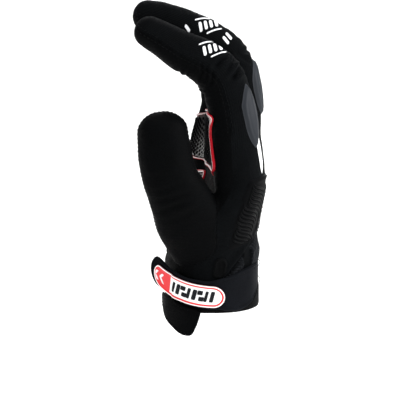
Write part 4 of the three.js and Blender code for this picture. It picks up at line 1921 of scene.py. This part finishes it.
@dataclass
class RibPanel:
    """The moulded panel over the back of the hand, with stacks of hooked ribs on it."""

    thick: float = 0.55
    rounding: float = 0.25
    rib_pitch: float = 2.25
    rib_width: float = 1.3
    rib_height: float = 1.0
    band: float = 0.9
    margin: float = 1.9
    least: int = 8
    corners: tuple[tuple[float, float], ...] = (
        (49.5, 83.5), (51.5, 71), (50, 58), (47.5, 48), (45.5, 37.5), (30, 43), (0, 48), (-30, 43),
        (-44, 38), (-46, 60), (-34, 68), (-12, 79), (8, 84), (32, 84.5))
    hook: tuple[tuple[float, float], ...] = (
        (0.0, 0.0), (-0.9, -2.2), (-3.6, -3.7), (-8.0, -4.6), (-12.5, -6.0), (-16.0, -8.6), (-17.6, -11.2))
    blocks: tuple[RibBlock, ...] = (
        RibBlock(46.5, 70.4, 6, 1.0), RibBlock(48.4, 57.0, 6, 1.05), RibBlock(45.8, 43.6, 6, 1.0),
        RibBlock(25.0, 69.5, 5, 1.0), RibBlock(25.8, 58.2, 5, 1.05), RibBlock(24.8, 50.4, 3, 1.0),
    )
    wrap: Wrap = Wrap()

    def height(self, places: Array, rim: Array) -> Array:
        """A thin flat panel with a smooth raised band under the knuckles."""
        band = self.band * mound(rim, 2.2, 1.3) * smoothstep(76, 81, places[:, 1])
        return self.thick * smoothstep(-0.6, 2.0, rim) + band * smoothstep(0.0, 1.0, rim) - 0.2

    def ribs(self, skin: Skin) -> list[tuple[Array, Array]]:
        """Lays the ribs on both halves of the back.

        Args:
            skin: The surface that they lie on.

        Returns:
            For each rib, the points of its middle line and the outward directions there.
        """
        outline = rounded_outline(self.corners, self.rounding)
        hook = through(np.array(self.hook), np.linspace(0, 1, 19))
        lines = []
        for side in (1, -1):
            for block in self.blocks:
                for i in range(block.count):
                    rise = block.up + i * self.rib_pitch
                    line = (hook * (block.stretch, 1.0) + (block.start, rise)) * (side, 1)
                    keep = (rim_distance(line, outline) > self.margin) & inside_of(line, outline)
                    if keep.sum() < self.least:
                        continue
                    points, normals = skin.lay(self.wrap, line[keep])
                    normals = unit(normals + 0.6 * normals.mean(axis=0))
                    lines.append((points + normals * (self.thick - 0.4), normals))
        return lines

    def build(self, skin: Skin) -> None:
        """Builds the panel and its ribs.

        Args:
            skin: The surface that they are laid on.
        """
        outline = rounded_outline(self.corners, self.rounding, count=200)
        panel = Patch(outline, self.wrap, 34).build("back_panel", skin, self.height, BLACK_RUBBER)
        place(panel, "black_rubber", "rib_panel")
        ribs = self.ribs(skin)
        place(cords_on("back_ribs", ribs, self.rib_width, self.rib_height, RIB_RUBBER, 0.5), "black_rubber")


@dataclass
class PalmPads:
    """The grip pads on the palm with their printed edging."""

    thick: float = 1.0
    edging_thick: float = 1.5
    edging_width: float = 1.7
    clearance: float = 0.45
    rounding: float = 0.22
    stud: tuple[float, float] = (1.7, 2.5)
    stud_steps: tuple[tuple[float, float], ...] = ((0.46, -0.25), (0.44, 0.15), (0.27, 0.35))
    stud_margin: float = 1.3
    edging_around: int = 260
    edging_across: int = 9
    facing: PalmWrap = PalmWrap()
    outlines: dict[str, tuple[tuple[float, float], ...]] = field(default_factory=lambda: {
        "upper": ((-40, 92), (-42, 110.5), (-12, 119), (10, 118.5), (26, 122.5), (40.8, 119.5),
                  (37.6, 109), (41.2, 88), (30, 84.5), (12, 84), (-6, 86.5), (-22, 88)),
        "heel": ((-34, 36), (-40, 60), (-35, 75), (-26, 78.5), (-15, 79), (-12.5, 68), (-9, 52), (-14, 38)),
    })

    def pad_height(self, places: Array, rim: Array) -> Array:
        """A flat pad with rounded edges."""
        return self.thick * (0.35 + 0.65 * smoothstep(0.0, 0.9, rim)) - 0.1

    def studs(self, outline: Array, skin: Skin, name: str) -> Piece:
        """Low diamonds in a lattice over a pad, joined in one mesh.

        Args:
            outline: The pad's outline.
            skin: The surface that the pad lies on.
            name: The mesh's name.

        Returns:
            The mesh object. Each step of a stud is a share of its size and a height over the pad.
        """
        wide, tall = self.stud
        low, high = outline.min(axis=0), outline.max(axis=0)
        columns = np.arange(low[0], high[0], wide / 2)
        rows = np.arange(low[1], high[1], tall)
        spots = np.array([(x, z + (i % 2) * tall / 2) for i, x in enumerate(columns) for z in rows])
        spots = spots[inside_of(spots, outline) & (rim_distance(spots, outline) > self.stud_margin)]
        points, normals = skin.lay(self.facing, spots)
        out = self.facing.rays(spots)[1]
        steep = (normals * out).sum(axis=1) > 0.3
        points, normals = points[steep], unit(normals[steep] + 0.4 * out[steep])
        across = unit(np.cross(UP, normals))
        up = np.cross(normals, across)
        shapes = []
        for size, lift in self.stud_steps:
            level = points + normals * (self.thick + lift)
            for x, y in ((1, 0), (0, 1), (-1, 0), (0, -1)):
                shapes.append(level + across * (x * size * wide) + up * (y * size * tall))
        each = len(shapes)
        corners = np.stack(shapes, axis=1).reshape(-1, 3)
        stud = tube_faces(len(self.stud_steps), 4)
        faces = [tuple(each * i + v for v in face) for i in range(len(points)) for face in stud]
        marks = np.repeat(np.hstack([spots[steep], np.ones((len(points), 1))]), each, axis=0)
        return marked_object(name, corners, faces, BLACK_RUBBER, marks)

    def edging(self, corners: Sequence[tuple[float, float]], skin: Skin, name: str) -> Piece:
        """A closed low band around a pad.

        Args:
            corners: The pad's corners.
            skin: The surface that it lies on.
            name: The band's name.

        Returns:
            The band, marked with how high each place lies on it and how far across, from 0 to 1.
        """
        shares = np.linspace(0, 1, self.edging_across)
        count = self.edging_around
        grows = self.clearance + shares * self.edging_width
        rings = np.stack([rounded_outline(corners, self.rounding, grow, count) for grow in grows])
        points, normals = skin.lay(self.facing, rings.reshape(-1, 2))
        shape = (len(shares), count, 3)
        points = soften(points.reshape(shape), 3)
        normals = unit(soften(normals.reshape(shape), 6))
        arch = np.sqrt(np.maximum(1 - (2 * shares - 1) ** 4, 0.0))[:, None, None]
        top = points + normals * (0.25 + (self.edging_thick - 0.35) * arch)
        under = points[::-1] - normals[::-1] * 0.3
        loop = np.concatenate([top, under]).transpose(1, 0, 2)
        heights = rings[:, :, 1].T
        upper = (heights - heights.min()) / (heights.max() - heights.min())
        across = np.tile(np.concatenate([shares, shares[::-1]])[None], (count, 1))
        marks = np.stack([np.zeros_like(across), np.hstack([upper, upper[:, ::-1]]), across], axis=2)
        faces = tube_faces(count, 2 * len(shares), closed=True)
        return marked_object(name, loop.reshape(-1, 3), faces, PIPING, marks.reshape(-1, 3))

    def build(self, skin: Skin) -> None:
        """Builds both pads, their studs and their edging.

        Args:
            skin: The surface that they are laid on.
        """
        for name, corners in self.outlines.items():
            outline = rounded_outline(corners, self.rounding)
            pad = Patch(outline, self.facing, 26).build(f"grip_{name}", skin, self.pad_height, CARBON)
            place(pad, "carbon_grip", f"palm_pad_{name}")
            place(self.studs(outline, skin, f"grip_studs_{name}"), "carbon_grip")
            place(self.edging(corners, skin, f"edging_{name}"), "red_piping", f"pad_piping_{name}")


# Wrist


@dataclass(frozen=True)
class Reach:
    """Where a band's edges lie: at an angle around the wrist, its lower and its upper edge.

    The angle runs from the back, 0, over the thumb side, 90, to the palm, 180. Past the start of a free end
    it counts the end's millimetres instead.
    """

    at: float
    low: float
    high: float


TAIL_START = 135.0
TAIL_WAY = np.array([-0.82, 0.57])
HIDDEN_RUN = (46.0, 24.0)


def hidden(run: Array) -> Array:
    """0 where the strap shows, rising to 1 over its run on the back, where it thins and sinks in."""
    return smoothstep(*HIDDEN_RUN, run)


@dataclass
class WristBand:
    """The middle surface of a band around the wrist, read off at even steps.

    tail says whether its last rows are a free end, ends are the lengths over which its two ends are
    rounded, and sunk is how far its hidden start sinks into the glove.
    """

    rows: tuple[Reach, ...]
    count: int
    tail: bool
    ends: tuple[float, float]
    sunk: float = 0.0
    turn_steps: int = 16
    even_rounds: int = 12

    def __post_init__(self) -> None:
        """Works out the places, the outward directions, the edges and the run along the band.

        The places are evened a few times, which rounds the corner where a free end leaves the wrist.
        """
        table = through(np.array([(r.at, r.low, r.high) for r in self.rows]), np.linspace(0, 1, self.count))
        angle = np.minimum(table[:, 0], TAIL_START) if self.tail else table[:, 0]
        past = np.maximum(table[:, 0] - TAIL_START, 0) if self.tail else np.zeros(self.count)
        spots = wrist_outline(-np.radians(angle)) + past[:, None] * unit(TAIL_WAY)
        for _ in range(self.even_rounds):
            spots[1:-1] = 0.5 * spots[1:-1] + 0.25 * (spots[:-2] + spots[2:])
        along = unit(np.gradient(spots, axis=0))
        out = np.stack([-along[:, 1], along[:, 0]], axis=1)
        out *= np.sign(np.einsum("ij,ij->i", out, spots))[:, None]
        run = run_along(spots)
        self.run = self.steps(float(run[-1]))
        even = read_off(self.run, run, np.column_stack([spots, out, table[:, 1:]]))
        self.spots = even[:, :2]
        self.out = unit(np.hstack([even[:, 2:4], np.zeros((self.count, 1))]))
        share = self.roundness(self.run)
        middle = (even[:, 4] + even[:, 5]) / 2
        half = (even[:, 5] - even[:, 4]) / 2 * share
        self.low, self.high = middle - half, middle + half

    def steps(self, length: float) -> Array:
        """Chooses the runs along the band, closer together where its ends are rounded.

        Args:
            length: The band's length.

        Returns:
            The runs, count of them.
        """
        first, last = self.ends
        turn = 1 - np.cos(np.linspace(0, math.pi / 2, self.turn_steps))
        middle = np.linspace(first, length - last, self.count - 2 * self.turn_steps + 2)[1:-1]
        return np.concatenate([first * turn, middle, length - last * turn[::-1]])

    def roundness(self, run: Array) -> Array:
        """Rounds the band's ends.

        Args:
            run: Runs along the band.

        Returns:
            The band's height at each as a share of its full height there.
        """
        first, last = self.ends
        near = np.minimum(run / first, (run[-1] - run) / last)
        return np.sqrt(np.maximum(1 - (1 - np.minimum(near, 1)) ** 2, 0.006))

    @property
    def outline(self) -> Array:
        """The band unrolled: its edge as a closed outline of runs and heights."""
        lower, upper = (np.stack([self.run, edge], axis=1) for edge in (self.low, self.high))
        return np.vstack([lower, upper[::-1]])

    def spot(self, places: Array, lift: Array | float) -> Array:
        """Finds points on the band.

        Args:
            places: Rows of a run and a height.
            lift: How far off the wrist each lies.

        Returns:
            The points.
        """
        run, height = places.T
        points = np.column_stack([read_off(run, self.run, self.spots), height])
        return points + self.out_at(run) * np.reshape(lift - self.sunk * hidden(run), (-1, 1))

    def out_at(self, run: Array) -> Array:
        """Outward directions at runs along the band."""
        return unit(read_off(run, self.run, self.out))

    def inset(self, margin: float) -> Array:
        """A line that runs round the band inside its edge.

        Args:
            margin: How far inside. At the ends it is a little further.

        Returns:
            The line, as rows of a run and a height.
        """
        ring = even_outline(self.outline, 400)
        run = np.clip(ring[:, 0], margin * 1.6, self.run[-1] - margin * 1.6)
        below = ring[:, 1] < np.interp(ring[:, 0], self.run, (self.low + self.high) / 2)
        low = np.interp(run, self.run, self.low) + margin
        high = np.interp(run, self.run, self.high) - margin
        return np.column_stack([run, np.where(below, low, np.maximum(high, low))])

    def build(
        self,
        name: str,
        inner: float,
        thick: float,
        relief: Callable[[Array, Array], Array],
        finish: Finish,
        across: int = 18,
    ) -> Piece:
        """Builds the band as a closed strip with rounded edges.

        Args:
            name: The piece's name.
            inner: How far its inner side stands off the wrist.
            thick: Its thickness.
            relief: What its outer side stands out by, from places and their distance to the rim.
            finish: Its finish.
            across: How many points lie across each side.

        Returns:
            The piece.
        """
        shares = 0.5 - 0.5 * np.cos(np.linspace(0, math.pi, across))
        heights = self.low[:, None] + (self.high - self.low)[:, None] * shares[None]
        runs = np.tile(self.run[:, None], (1, across))
        places = np.stack([runs, heights], axis=2).reshape(-1, 2)
        rim = rim_distance(places, self.outline)
        round_edge = np.sqrt(np.maximum(1 - (1 - np.minimum(rim / (thick * 0.55), 1)) ** 2, 0))
        outer = self.spot(places, inner + thick * (0.5 + 0.5 * round_edge) + relief(places, rim))
        inside = self.spot(places, inner + thick * 0.5 * (1 - round_edge))
        shape = (self.count, across, 3)
        loop = np.concatenate([outer.reshape(shape), inside.reshape(shape)[:, ::-1]], axis=1)
        marks = np.stack([places[:, 0], places[:, 1], rim], axis=1).reshape(shape)
        both = np.concatenate([marks, marks[:, ::-1]], axis=1)
        faces = tube_faces(self.count, 2 * across)
        return marked_object(name, loop.reshape(-1, 3), faces, finish, both.reshape(-1, 3))


@dataclass(frozen=True)
class Bar:
    """A slanted bar: its width, its height, and how far its upper end leans along the run."""

    wide: float
    tall: float
    slant: float


@dataclass(frozen=True)
class BadgeMark:
    """A bar on the badge: how far along it lies, and how far above the badge's middle line."""

    run: float
    above: float
    bar: Bar


WIDE_BAR = Bar(2.3, 6.6, -1.6)
NARROW_BAR = Bar(1.7, 6.6, -1.6)
SHORT_BAR = Bar(2.9, 2.7, -0.6)


@dataclass
class Closure:
    """The wrist strap with its badge, and the pull flap under it."""

    snug: float = 0.55
    strap_thick: float = 2.4
    thinned: float = 1.35
    sunk: float = 1.3
    badge_gap: float = 0.35
    badge_thick: float = 1.2
    field_depth: float = 0.5
    mark_rises: tuple[float, float, float] = (-0.25, 0.2, 0.28)
    flap_thick: float = 1.8
    strap_rows: tuple[Reach, ...] = (
        Reach(-24, 13, 27), Reach(0, 13, 28), Reach(20, 12.3, 28.2), Reach(29, 9.5, 28.1),
        Reach(35, 7.8, 28), Reach(41, 5.3, 27.8), Reach(48, 3.6, 27.2), Reach(60, 1.7, 25.4),
        Reach(75, 1.6, 22.5), Reach(82, 2.6, 21.6), Reach(92, 3, 20.1), Reach(104, 4, 20.8),
        Reach(116, 5, 21.7), Reach(128, 7, 23.6), Reach(135, 7.9, 24.8), Reach(138, 9, 26),
        Reach(141, 10.7, 28.2), Reach(144, 12.4, 30.6), Reach(147.5, 14.6, 32.6), Reach(152.6, 16.8, 33.2))
    badge_rows: tuple[Reach, ...] = (
        Reach(78, 4.2, 16.8), Reach(92, 4.3, 17.6), Reach(108, 5.5, 19), Reach(122, 7.3, 20.9),
        Reach(135, 9.2, 23.1), Reach(141, 12, 25.6), Reach(145, 14.6, 27.9), Reach(148.8, 16.6, 29.4))
    flap_rows: tuple[Reach, ...] = (
        Reach(100, -1.5, 2.8), Reach(105, -8.2, 3), Reach(110, -13.2, 3.5), Reach(119, -14.2, 4.4),
        Reach(130, -12.8, 6), Reach(141, -9.8, 8.4), Reach(153, -6.4, 8.6), Reach(164, -1.8, 8.6),
        Reach(171, 3, 8.6))
    bars: tuple[BadgeMark, ...] = (
        BadgeMark(7.2, 0, WIDE_BAR), BadgeMark(10.5, 0, NARROW_BAR), BadgeMark(13.7, 1.9, SHORT_BAR),
        BadgeMark(13.3, -1.9, SHORT_BAR), BadgeMark(17, 0, WIDE_BAR), BadgeMark(20.2, 0, NARROW_BAR),
        BadgeMark(23.3, 1.9, SHORT_BAR), BadgeMark(22.9, -1.9, SHORT_BAR), BadgeMark(26.6, 0, WIDE_BAR),
        BadgeMark(29.8, 0, NARROW_BAR))
    chevrons: tuple[BadgeMark, ...] = tuple(
        BadgeMark(run, turn * 1.45, Bar(1.5, 2.9, -turn * 2)) for run in (39.6, 43.6) for turn in (1, -1))

    def strap_relief(self, places: Array, rim: Array) -> Array:
        """A rolled edge, a sewn border and a few soft ripples, all thinner on the hidden run.

        Args:
            places: Rows of a run and a height.
            rim: Their distance to the rim.

        Returns:
            What the strap's outer side stands out by.
        """
        ripple = np.array([noise.noise(Vector((x * 0.13, y * 0.2, 3.0))) for x, y in places])
        roll = 0.3 * mound(rim, 0.9, 0.6) - 0.25 * mound(rim, 2.1, 0.5)
        back = hidden(places[:, 0])
        return (0.3 * ripple * smoothstep(0, 3, rim) + roll) * (1 - 0.8 * back) - self.thinned * back

    def badge_relief(self, places: Array, rim: Array) -> Array:
        """A raised border around a field that lies a little lower."""
        return -0.35 * smoothstep(0.9, 1.1, rim) - 0.15 * smoothstep(1.6, 1.75, rim)

    def flap_relief(self, places: Array, rim: Array) -> Array:
        """A sewn border and a shallow dent."""
        return 0.25 * np.sin(places[:, 0] * 0.3) - 0.25 * mound(rim, 2.0, 0.5)

    def build(self) -> None:
        """Builds the strap, the badge with its marks, and the flap, with their stitches."""
        strap = WristBand(self.strap_rows, 200, True, (1.5, 5.5), self.sunk)
        piece = strap.build("strap", self.snug, self.strap_thick, self.strap_relief, STRAP_CLOTH, 26)
        place(piece, "strap_cloth", "wrist_strap")
        flap = WristBand(self.flap_rows, 100, False, (2.5, 3.0))
        sheet = flap.build("flap", self.snug, self.flap_thick, self.flap_relief, LEATHER, 20)
        place(sheet, "palm_leather", "pull_flap")
        self.sew(strap, piece, "strap_stitches", self.snug + self.strap_thick - 0.25, 2.1, "strap_cloth")
        self.sew(flap, sheet, "flap_stitches", self.snug + self.flap_thick - 0.15, 2.0, "palm_leather")
        self.badge()

    def sew(self, band: WristBand, piece: Piece, name: str, lift: float, margin: float, slot: str) -> None:
        """Sews a row of stitches inside a band's edge.

        Args:
            band: The band's surface.
            piece: The band's piece, which is not used.
            name: The stitches' name.
            lift: How far off the wrist they lie.
            margin: How far inside the edge.
            slot: Their material slot.
        """
        line = band.inset(margin)
        row = (band.spot(line, lift), band.out_at(line[:, 0]))
        stitches = place(Stitching(2.3, 1.6, 0.42).sew(name, [row]), slot)

    def badge(self) -> None:
        """The rubber badge: white border, thin red line, a red end, and plain marks."""
        band = WristBand(self.badge_rows, 230, True, (6.3, 5.0))
        inner = self.snug + self.strap_thick + self.badge_gap
        base = band.build("badge", inner, self.badge_thick, self.badge_relief, BADGE, 44)
        place(base, "badge_rubber", "strap_badge")
        lift = inner + self.badge_thick - self.field_depth
        for name, marks, finish in (
            ("badge_bars", self.bars, BADGE_DARK), ("badge_chevrons", self.chevrons, PRINT),
        ):
            raised = [self.raised(band, mark, lift, finish) for mark in marks]
            place(joined(raised, name), "badge_rubber")

    def raised(self, band: WristBand, mark: BadgeMark, lift: float, finish: Finish) -> Piece:
        """One raised slanted bar on the badge.

        Args:
            band: The badge's surface.
            mark: The bar.
            lift: How far the badge's field stands off the wrist.
            finish: Its finish.

        Returns:
            The bar's mesh object.
        """
        outline = bar_outline(mark.bar.wide, mark.bar.tall, mark.bar.slant, 20)
        centre = np.interp(mark.run + outline[:, 0], band.run, (band.low + band.high) / 2)
        outline = outline + np.stack([np.full(len(outline), mark.run), centre + mark.above], axis=1)
        middle = outline.mean(axis=0)
        rings = (outline, outline, middle + (outline - middle) * 0.86)
        grid = np.vstack([band.spot(ring, lift + rise) for ring, rise in zip(rings, self.mark_rises)])
        return mesh_object("bar", grid, tube_faces(3, 20), [finish_of(finish)])


@dataclass
class Cuff:
    """The turned tape around the wrist opening, folded thicker at the back, and the tab in the seam."""

    tall: float = 3.2
    thick: float = 2.4
    girth: float = 210.0
    square: float = 3.2
    stations: int = 220
    sides: int = 20
    fold_span: tuple[float, float] = (50.0, 16.0)
    fold_deep: float = 0.6
    fold_tall: float = 8.6
    uneven: tuple[float, float] = (0.2, 0.25)
    tab_facing: Facing = Facing(82, (0.5, 0, 29), 0, -8)
    tab_corners: tuple[tuple[float, float], ...] = (
        (-3.8, -7.5), (3.8, -7.5), (4.1, 2.5), (1.8, 5.4), (-2.2, 5.2), (-4.1, 2.5))
    tab_thick: float = 0.8

    def ring(self) -> tuple[Array, Array]:
        """Places around the wrist.

        Returns:
            The places, and the outward directions there.
        """
        angle = np.linspace(0, math.tau, self.stations, endpoint=False)
        spots = np.column_stack([wrist_outline(angle), np.zeros(self.stations)])
        along = unit(np.roll(spots, -1, axis=0) - np.roll(spots, 1, axis=0))
        return spots, np.cross(along, UP)

    def binding(self) -> Piece:
        """The tape, with a rounded section and a thick fold at the back.

        Returns:
            The tape.
        """
        spots, out = self.ring()
        angle = np.degrees(np.arctan2(-spots[:, 1], spots[:, 0]))
        fold = smoothstep(*self.fold_span, np.abs(angle))
        wave = np.array([noise.noise(Vector(spot * 0.16)) for spot in spots])
        proud = self.fold_deep * fold + self.uneven[0] * wave
        raised = self.fold_tall * fold + self.uneven[1] * wave
        turns = np.linspace(0, math.tau, self.sides, endpoint=False)
        points = []
        for side, rise in zip(*rounded(0.5, 0.5, turns, self.square)):
            deep = -self.thick / 2 + 0.15 + side * (self.thick + 0.1) + proud * (side > 0)
            high = self.tall / 2 + rise * self.tall + raised * (rise > 0)
            points.append(spots + out * deep[:, None] + high[:, None] * UP)
        loop = np.stack(points, axis=1)[:, ::-1]
        run = np.tile(np.linspace(0, self.girth, self.stations)[:, None], (1, self.sides))
        across = np.tile(turns * 1.5, (self.stations, 1))
        marks = np.stack([run, across, np.ones_like(run)], axis=2).reshape(-1, 3)
        faces = tube_faces(self.stations, self.sides, closed=True)
        return marked_object("cuff_edge", loop.reshape(-1, 3), faces, BINDING_TAPE, marks)

    def build(self, skin: Skin) -> None:
        """Builds the tape and the tab.

        Args:
            skin: The surface that the tab is laid on.
        """
        place(self.binding(), "binding_tape", "cuff_binding")
        patch = Patch(rounded_outline(self.tab_corners, 0.25, 0.0, 64), self.tab_facing, 8)
        place(patch.build("side_tab", skin, self.tab_height, BINDING_TAPE), "binding_tape", "seam_tab")

    def tab_height(self, places: Array, rim: Array) -> Array:
        """A loop of rolled tape around a hollow."""
        roll = mound(rim, 1.0, 0.8, 4)
        return 0.35 + self.tab_thick * roll * (0.35 + 0.65 * smoothstep(-5.0, 4.0, places[:, 1]))


@dataclass(frozen=True)
class PrintBlock:
    """A block of slanted bars, which may have a thin rule above and under them."""

    facing: Facing
    count: int
    tall: float
    ruled: bool


@dataclass
class FingerPrints:
    """Plain white marks printed on the first two fingers."""

    pitch: float = 3.5
    wide: float = 1.9
    slant: float = 1.6
    lift: float = 0.22
    rule_wide: float = 0.8
    rule_gap: float = 2.0
    rule_shift: float = 1.5
    blocks: tuple[PrintBlock, ...] = (
        PrintBlock(Facing(90, (0.6, -34, 158), 22, 27, 25), 4, 5.6, True),
        PrintBlock(Facing(90, (-1.8, -12, 168.2), 42, 27, 25), 4, 5.4, True),
        PrintBlock(Facing(90, (9.6, -12, 161.4), 30, 60, 25), 2, 5, False),
        PrintBlock(Facing(90, (-15.2, -12, 164.4), 30, 60, 25), 2, 4.2, False),
    )

    def build(self, skin: Skin) -> None:
        """Builds the marks of each block.

        Args:
            skin: The surface that they are printed on.
        """
        marks = []
        for block in self.blocks:
            for outline in self.outlines(block):
                patch = Patch(outline, block.facing, 4, 0.2)
                marks.append(patch.build("mark", skin, self.height, PRINT))
        place(joined(marks, "finger_marks"), "white_rubber")

    def outlines(self, block: PrintBlock) -> list[Array]:
        """The outlines of a block's bars and rules.

        Args:
            block: The block.

        Returns:
            The outlines, around the block's middle.
        """
        wide = (block.count - 1) * self.pitch
        bar = bar_outline(self.wide, block.tall, self.slant)
        outlines = [bar + (i * self.pitch - wide / 2, 0) for i in range(block.count)]
        if block.ruled:
            rule = bar_outline(wide, self.rule_wide, 0.3, 48)
            away = block.tall / 2 + self.rule_gap
            outlines += [rule + (-turn * self.rule_shift, turn * away) for turn in (1, -1)]
        return outlines

    def height(self, places: Array, rim: Array) -> Array:
        """The print is as thick all over."""
        return np.full(len(places), self.lift)


@dataclass
class Seams:
    """The rows of stitches along the seams of the fingers and the thumb.

    They are left out where the seam is further than reach from the surface, and where another form is
    nearer than clear_of or its own form further than on_form, as ratios of distances to a centre line.
    """

    offset: float = 1.5
    reach: float = 1.8
    clear_of: float = 1.12
    on_form: float = 1.15
    sewing: Stitching = Stitching()

    def build(self, shell: Shell) -> None:
        """Sews both sides of each seam.

        Args:
            shell: The shell, with its seams and its skin.
        """
        rows = []
        for name, route in shell.seam_routes().items():
            loft = LOFTS[name]
            for turn in (-1, 1):
                points, normals, gaps = shell.all_skin.nearest(route)
                along = unit(np.gradient(points, axis=0))
                beside = points + np.cross(along, normals) * turn * self.offset
                points, normals, _ = shell.all_skin.nearest(beside)
                _, _, ratio = loft.locate(points)
                others = [other.locate(points)[2] for key, other in LOFTS.items() if key != name]
                clear = np.min(others, axis=0) > self.clear_of
                free = (gaps < self.reach) & clear & (ratio < self.on_form)
                rows += self.stretches(points, normals, free)
        place(self.sewing.sew("seam_stitches", rows), "stretch_cloth")

    def stretches(self, points: Array, normals: Array, free: Array) -> list[tuple[Array, Array]]:
        """Cuts a line into the stretches where it lies free.

        Args:
            points: The line's points.
            normals: The outward directions there.
            free: Whether it lies free there.

        Returns:
            The points and the directions of each stretch that isn't too short to sew.
        """
        breaks = np.flatnonzero(np.diff(free.astype(int))) + 1
        parts = np.split(np.arange(len(points)), breaks)
        return [(points[part], normals[part]) for part in parts if free[part[0]] and len(part) > 5]


class LampKind(Enum):
    """The kinds of light: a far one, whose spread is an angle, and a square one, whose spread is a size."""

    FAR = "SUN"
    SQUARE = "AREA"


@dataclass(frozen=True)
class Lamp:
    """A soft light: how strong it is, where it stands, and its spread in degrees or millimetres."""

    name: str
    kind: LampKind
    strength: float
    spot: tuple[float, float, float]
    spread: float


@dataclass
class Studio:
    """The camera, the pale floor and the soft lights."""

    target: tuple[float, float, float] = (-6.8, 0.0, 64.5)
    elevation: float = 8.0
    distance: float = 1100.0
    view_width: float = 248.0
    sensor: float = 36.0
    floor_drop: float = 120.0
    floor_half: float = 60000.0
    room_strength: float = 0.45
    lamps: tuple[Lamp, ...] = (
        Lamp("key", LampKind.FAR, 2.5, (-260, -330, 900), 38),
        Lamp("edge", LampKind.SQUARE, 7, (620, -260, 330), 300),
        Lamp("back", LampKind.FAR, 2.2, (80, 760, 420), 50),
    )

    def build(self) -> None:
        """Builds all of them."""
        self.camera()
        self.floor()
        self.lights()

    def camera(self) -> None:
        """The camera looks at the thumb side, from a little above."""
        rise = math.radians(self.elevation)
        away = Vector((0.0, -math.cos(rise), math.sin(rise)))
        data = bpy.data.cameras.new("camera")
        data.sensor_width = self.sensor
        data.lens = self.sensor * self.distance / self.view_width
        camera = bpy.data.objects.new("camera", data)
        camera.location = (Vector(self.target) + away * self.distance) * MM
        camera.rotation_euler = (-away).to_track_quat("-Z", "Y").to_euler()
        bpy.context.scene.collection.objects.link(camera)
        bpy.context.scene.camera = camera

    def floor(self) -> None:
        """A wide plain floor under the held-up glove."""
        square = np.array([(-1, -1), (1, -1), (1, 1), (-1, 1)]) * self.floor_half
        corners = np.column_stack([square, np.full(4, -self.floor_drop)])
        mesh_object("floor", corners, [(0, 1, 2, 3)], [finish_of(FLOOR)])

    def lights(self) -> None:
        """An even bright room, soft light from above and behind, and a small lamp on the right."""
        world = bpy.data.worlds.new("room")
        world.use_nodes = True
        background = world.node_tree.nodes["Background"]
        background.inputs["Color"].default_value = (1.0, 1.0, 1.0, 1.0)
        background.inputs["Strength"].default_value = self.room_strength
        bpy.context.scene.world = world
        bpy.context.scene.view_settings.view_transform = "Standard"
        for lamp in self.lamps:
            data = bpy.data.lights.new(lamp.name, lamp.kind.value)
            data.energy = lamp.strength
            way = -Vector(lamp.spot)
            if lamp.kind is LampKind.FAR:
                data.angle = math.radians(lamp.spread)
            else:
                data.size = lamp.spread * MM
                way += Vector(self.target)
            light = bpy.data.objects.new(lamp.name, data)
            light.location = Vector(lamp.spot) * MM
            light.rotation_euler = way.to_track_quat("-Z", "Y").to_euler()
            bpy.context.scene.collection.objects.link(light)


def main() -> None:
    """Builds the glove's sub-assemblies in order and reports each piece."""
    logging.basicConfig(level=logging.INFO, format="%(name)s: %(message)s")
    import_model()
    Studio().build()
    shell = Shell()
    shell.build()
    skin = shell.skin
    KnuckleGuards().build(skin)
    RibPanel().build(skin)
    PalmPads().build(skin)
    Cuff().build(skin)
    Closure().build()
    FingerPrints().build(skin)
    Seams().build(shell)


if __name__ == "__main__":
    main()
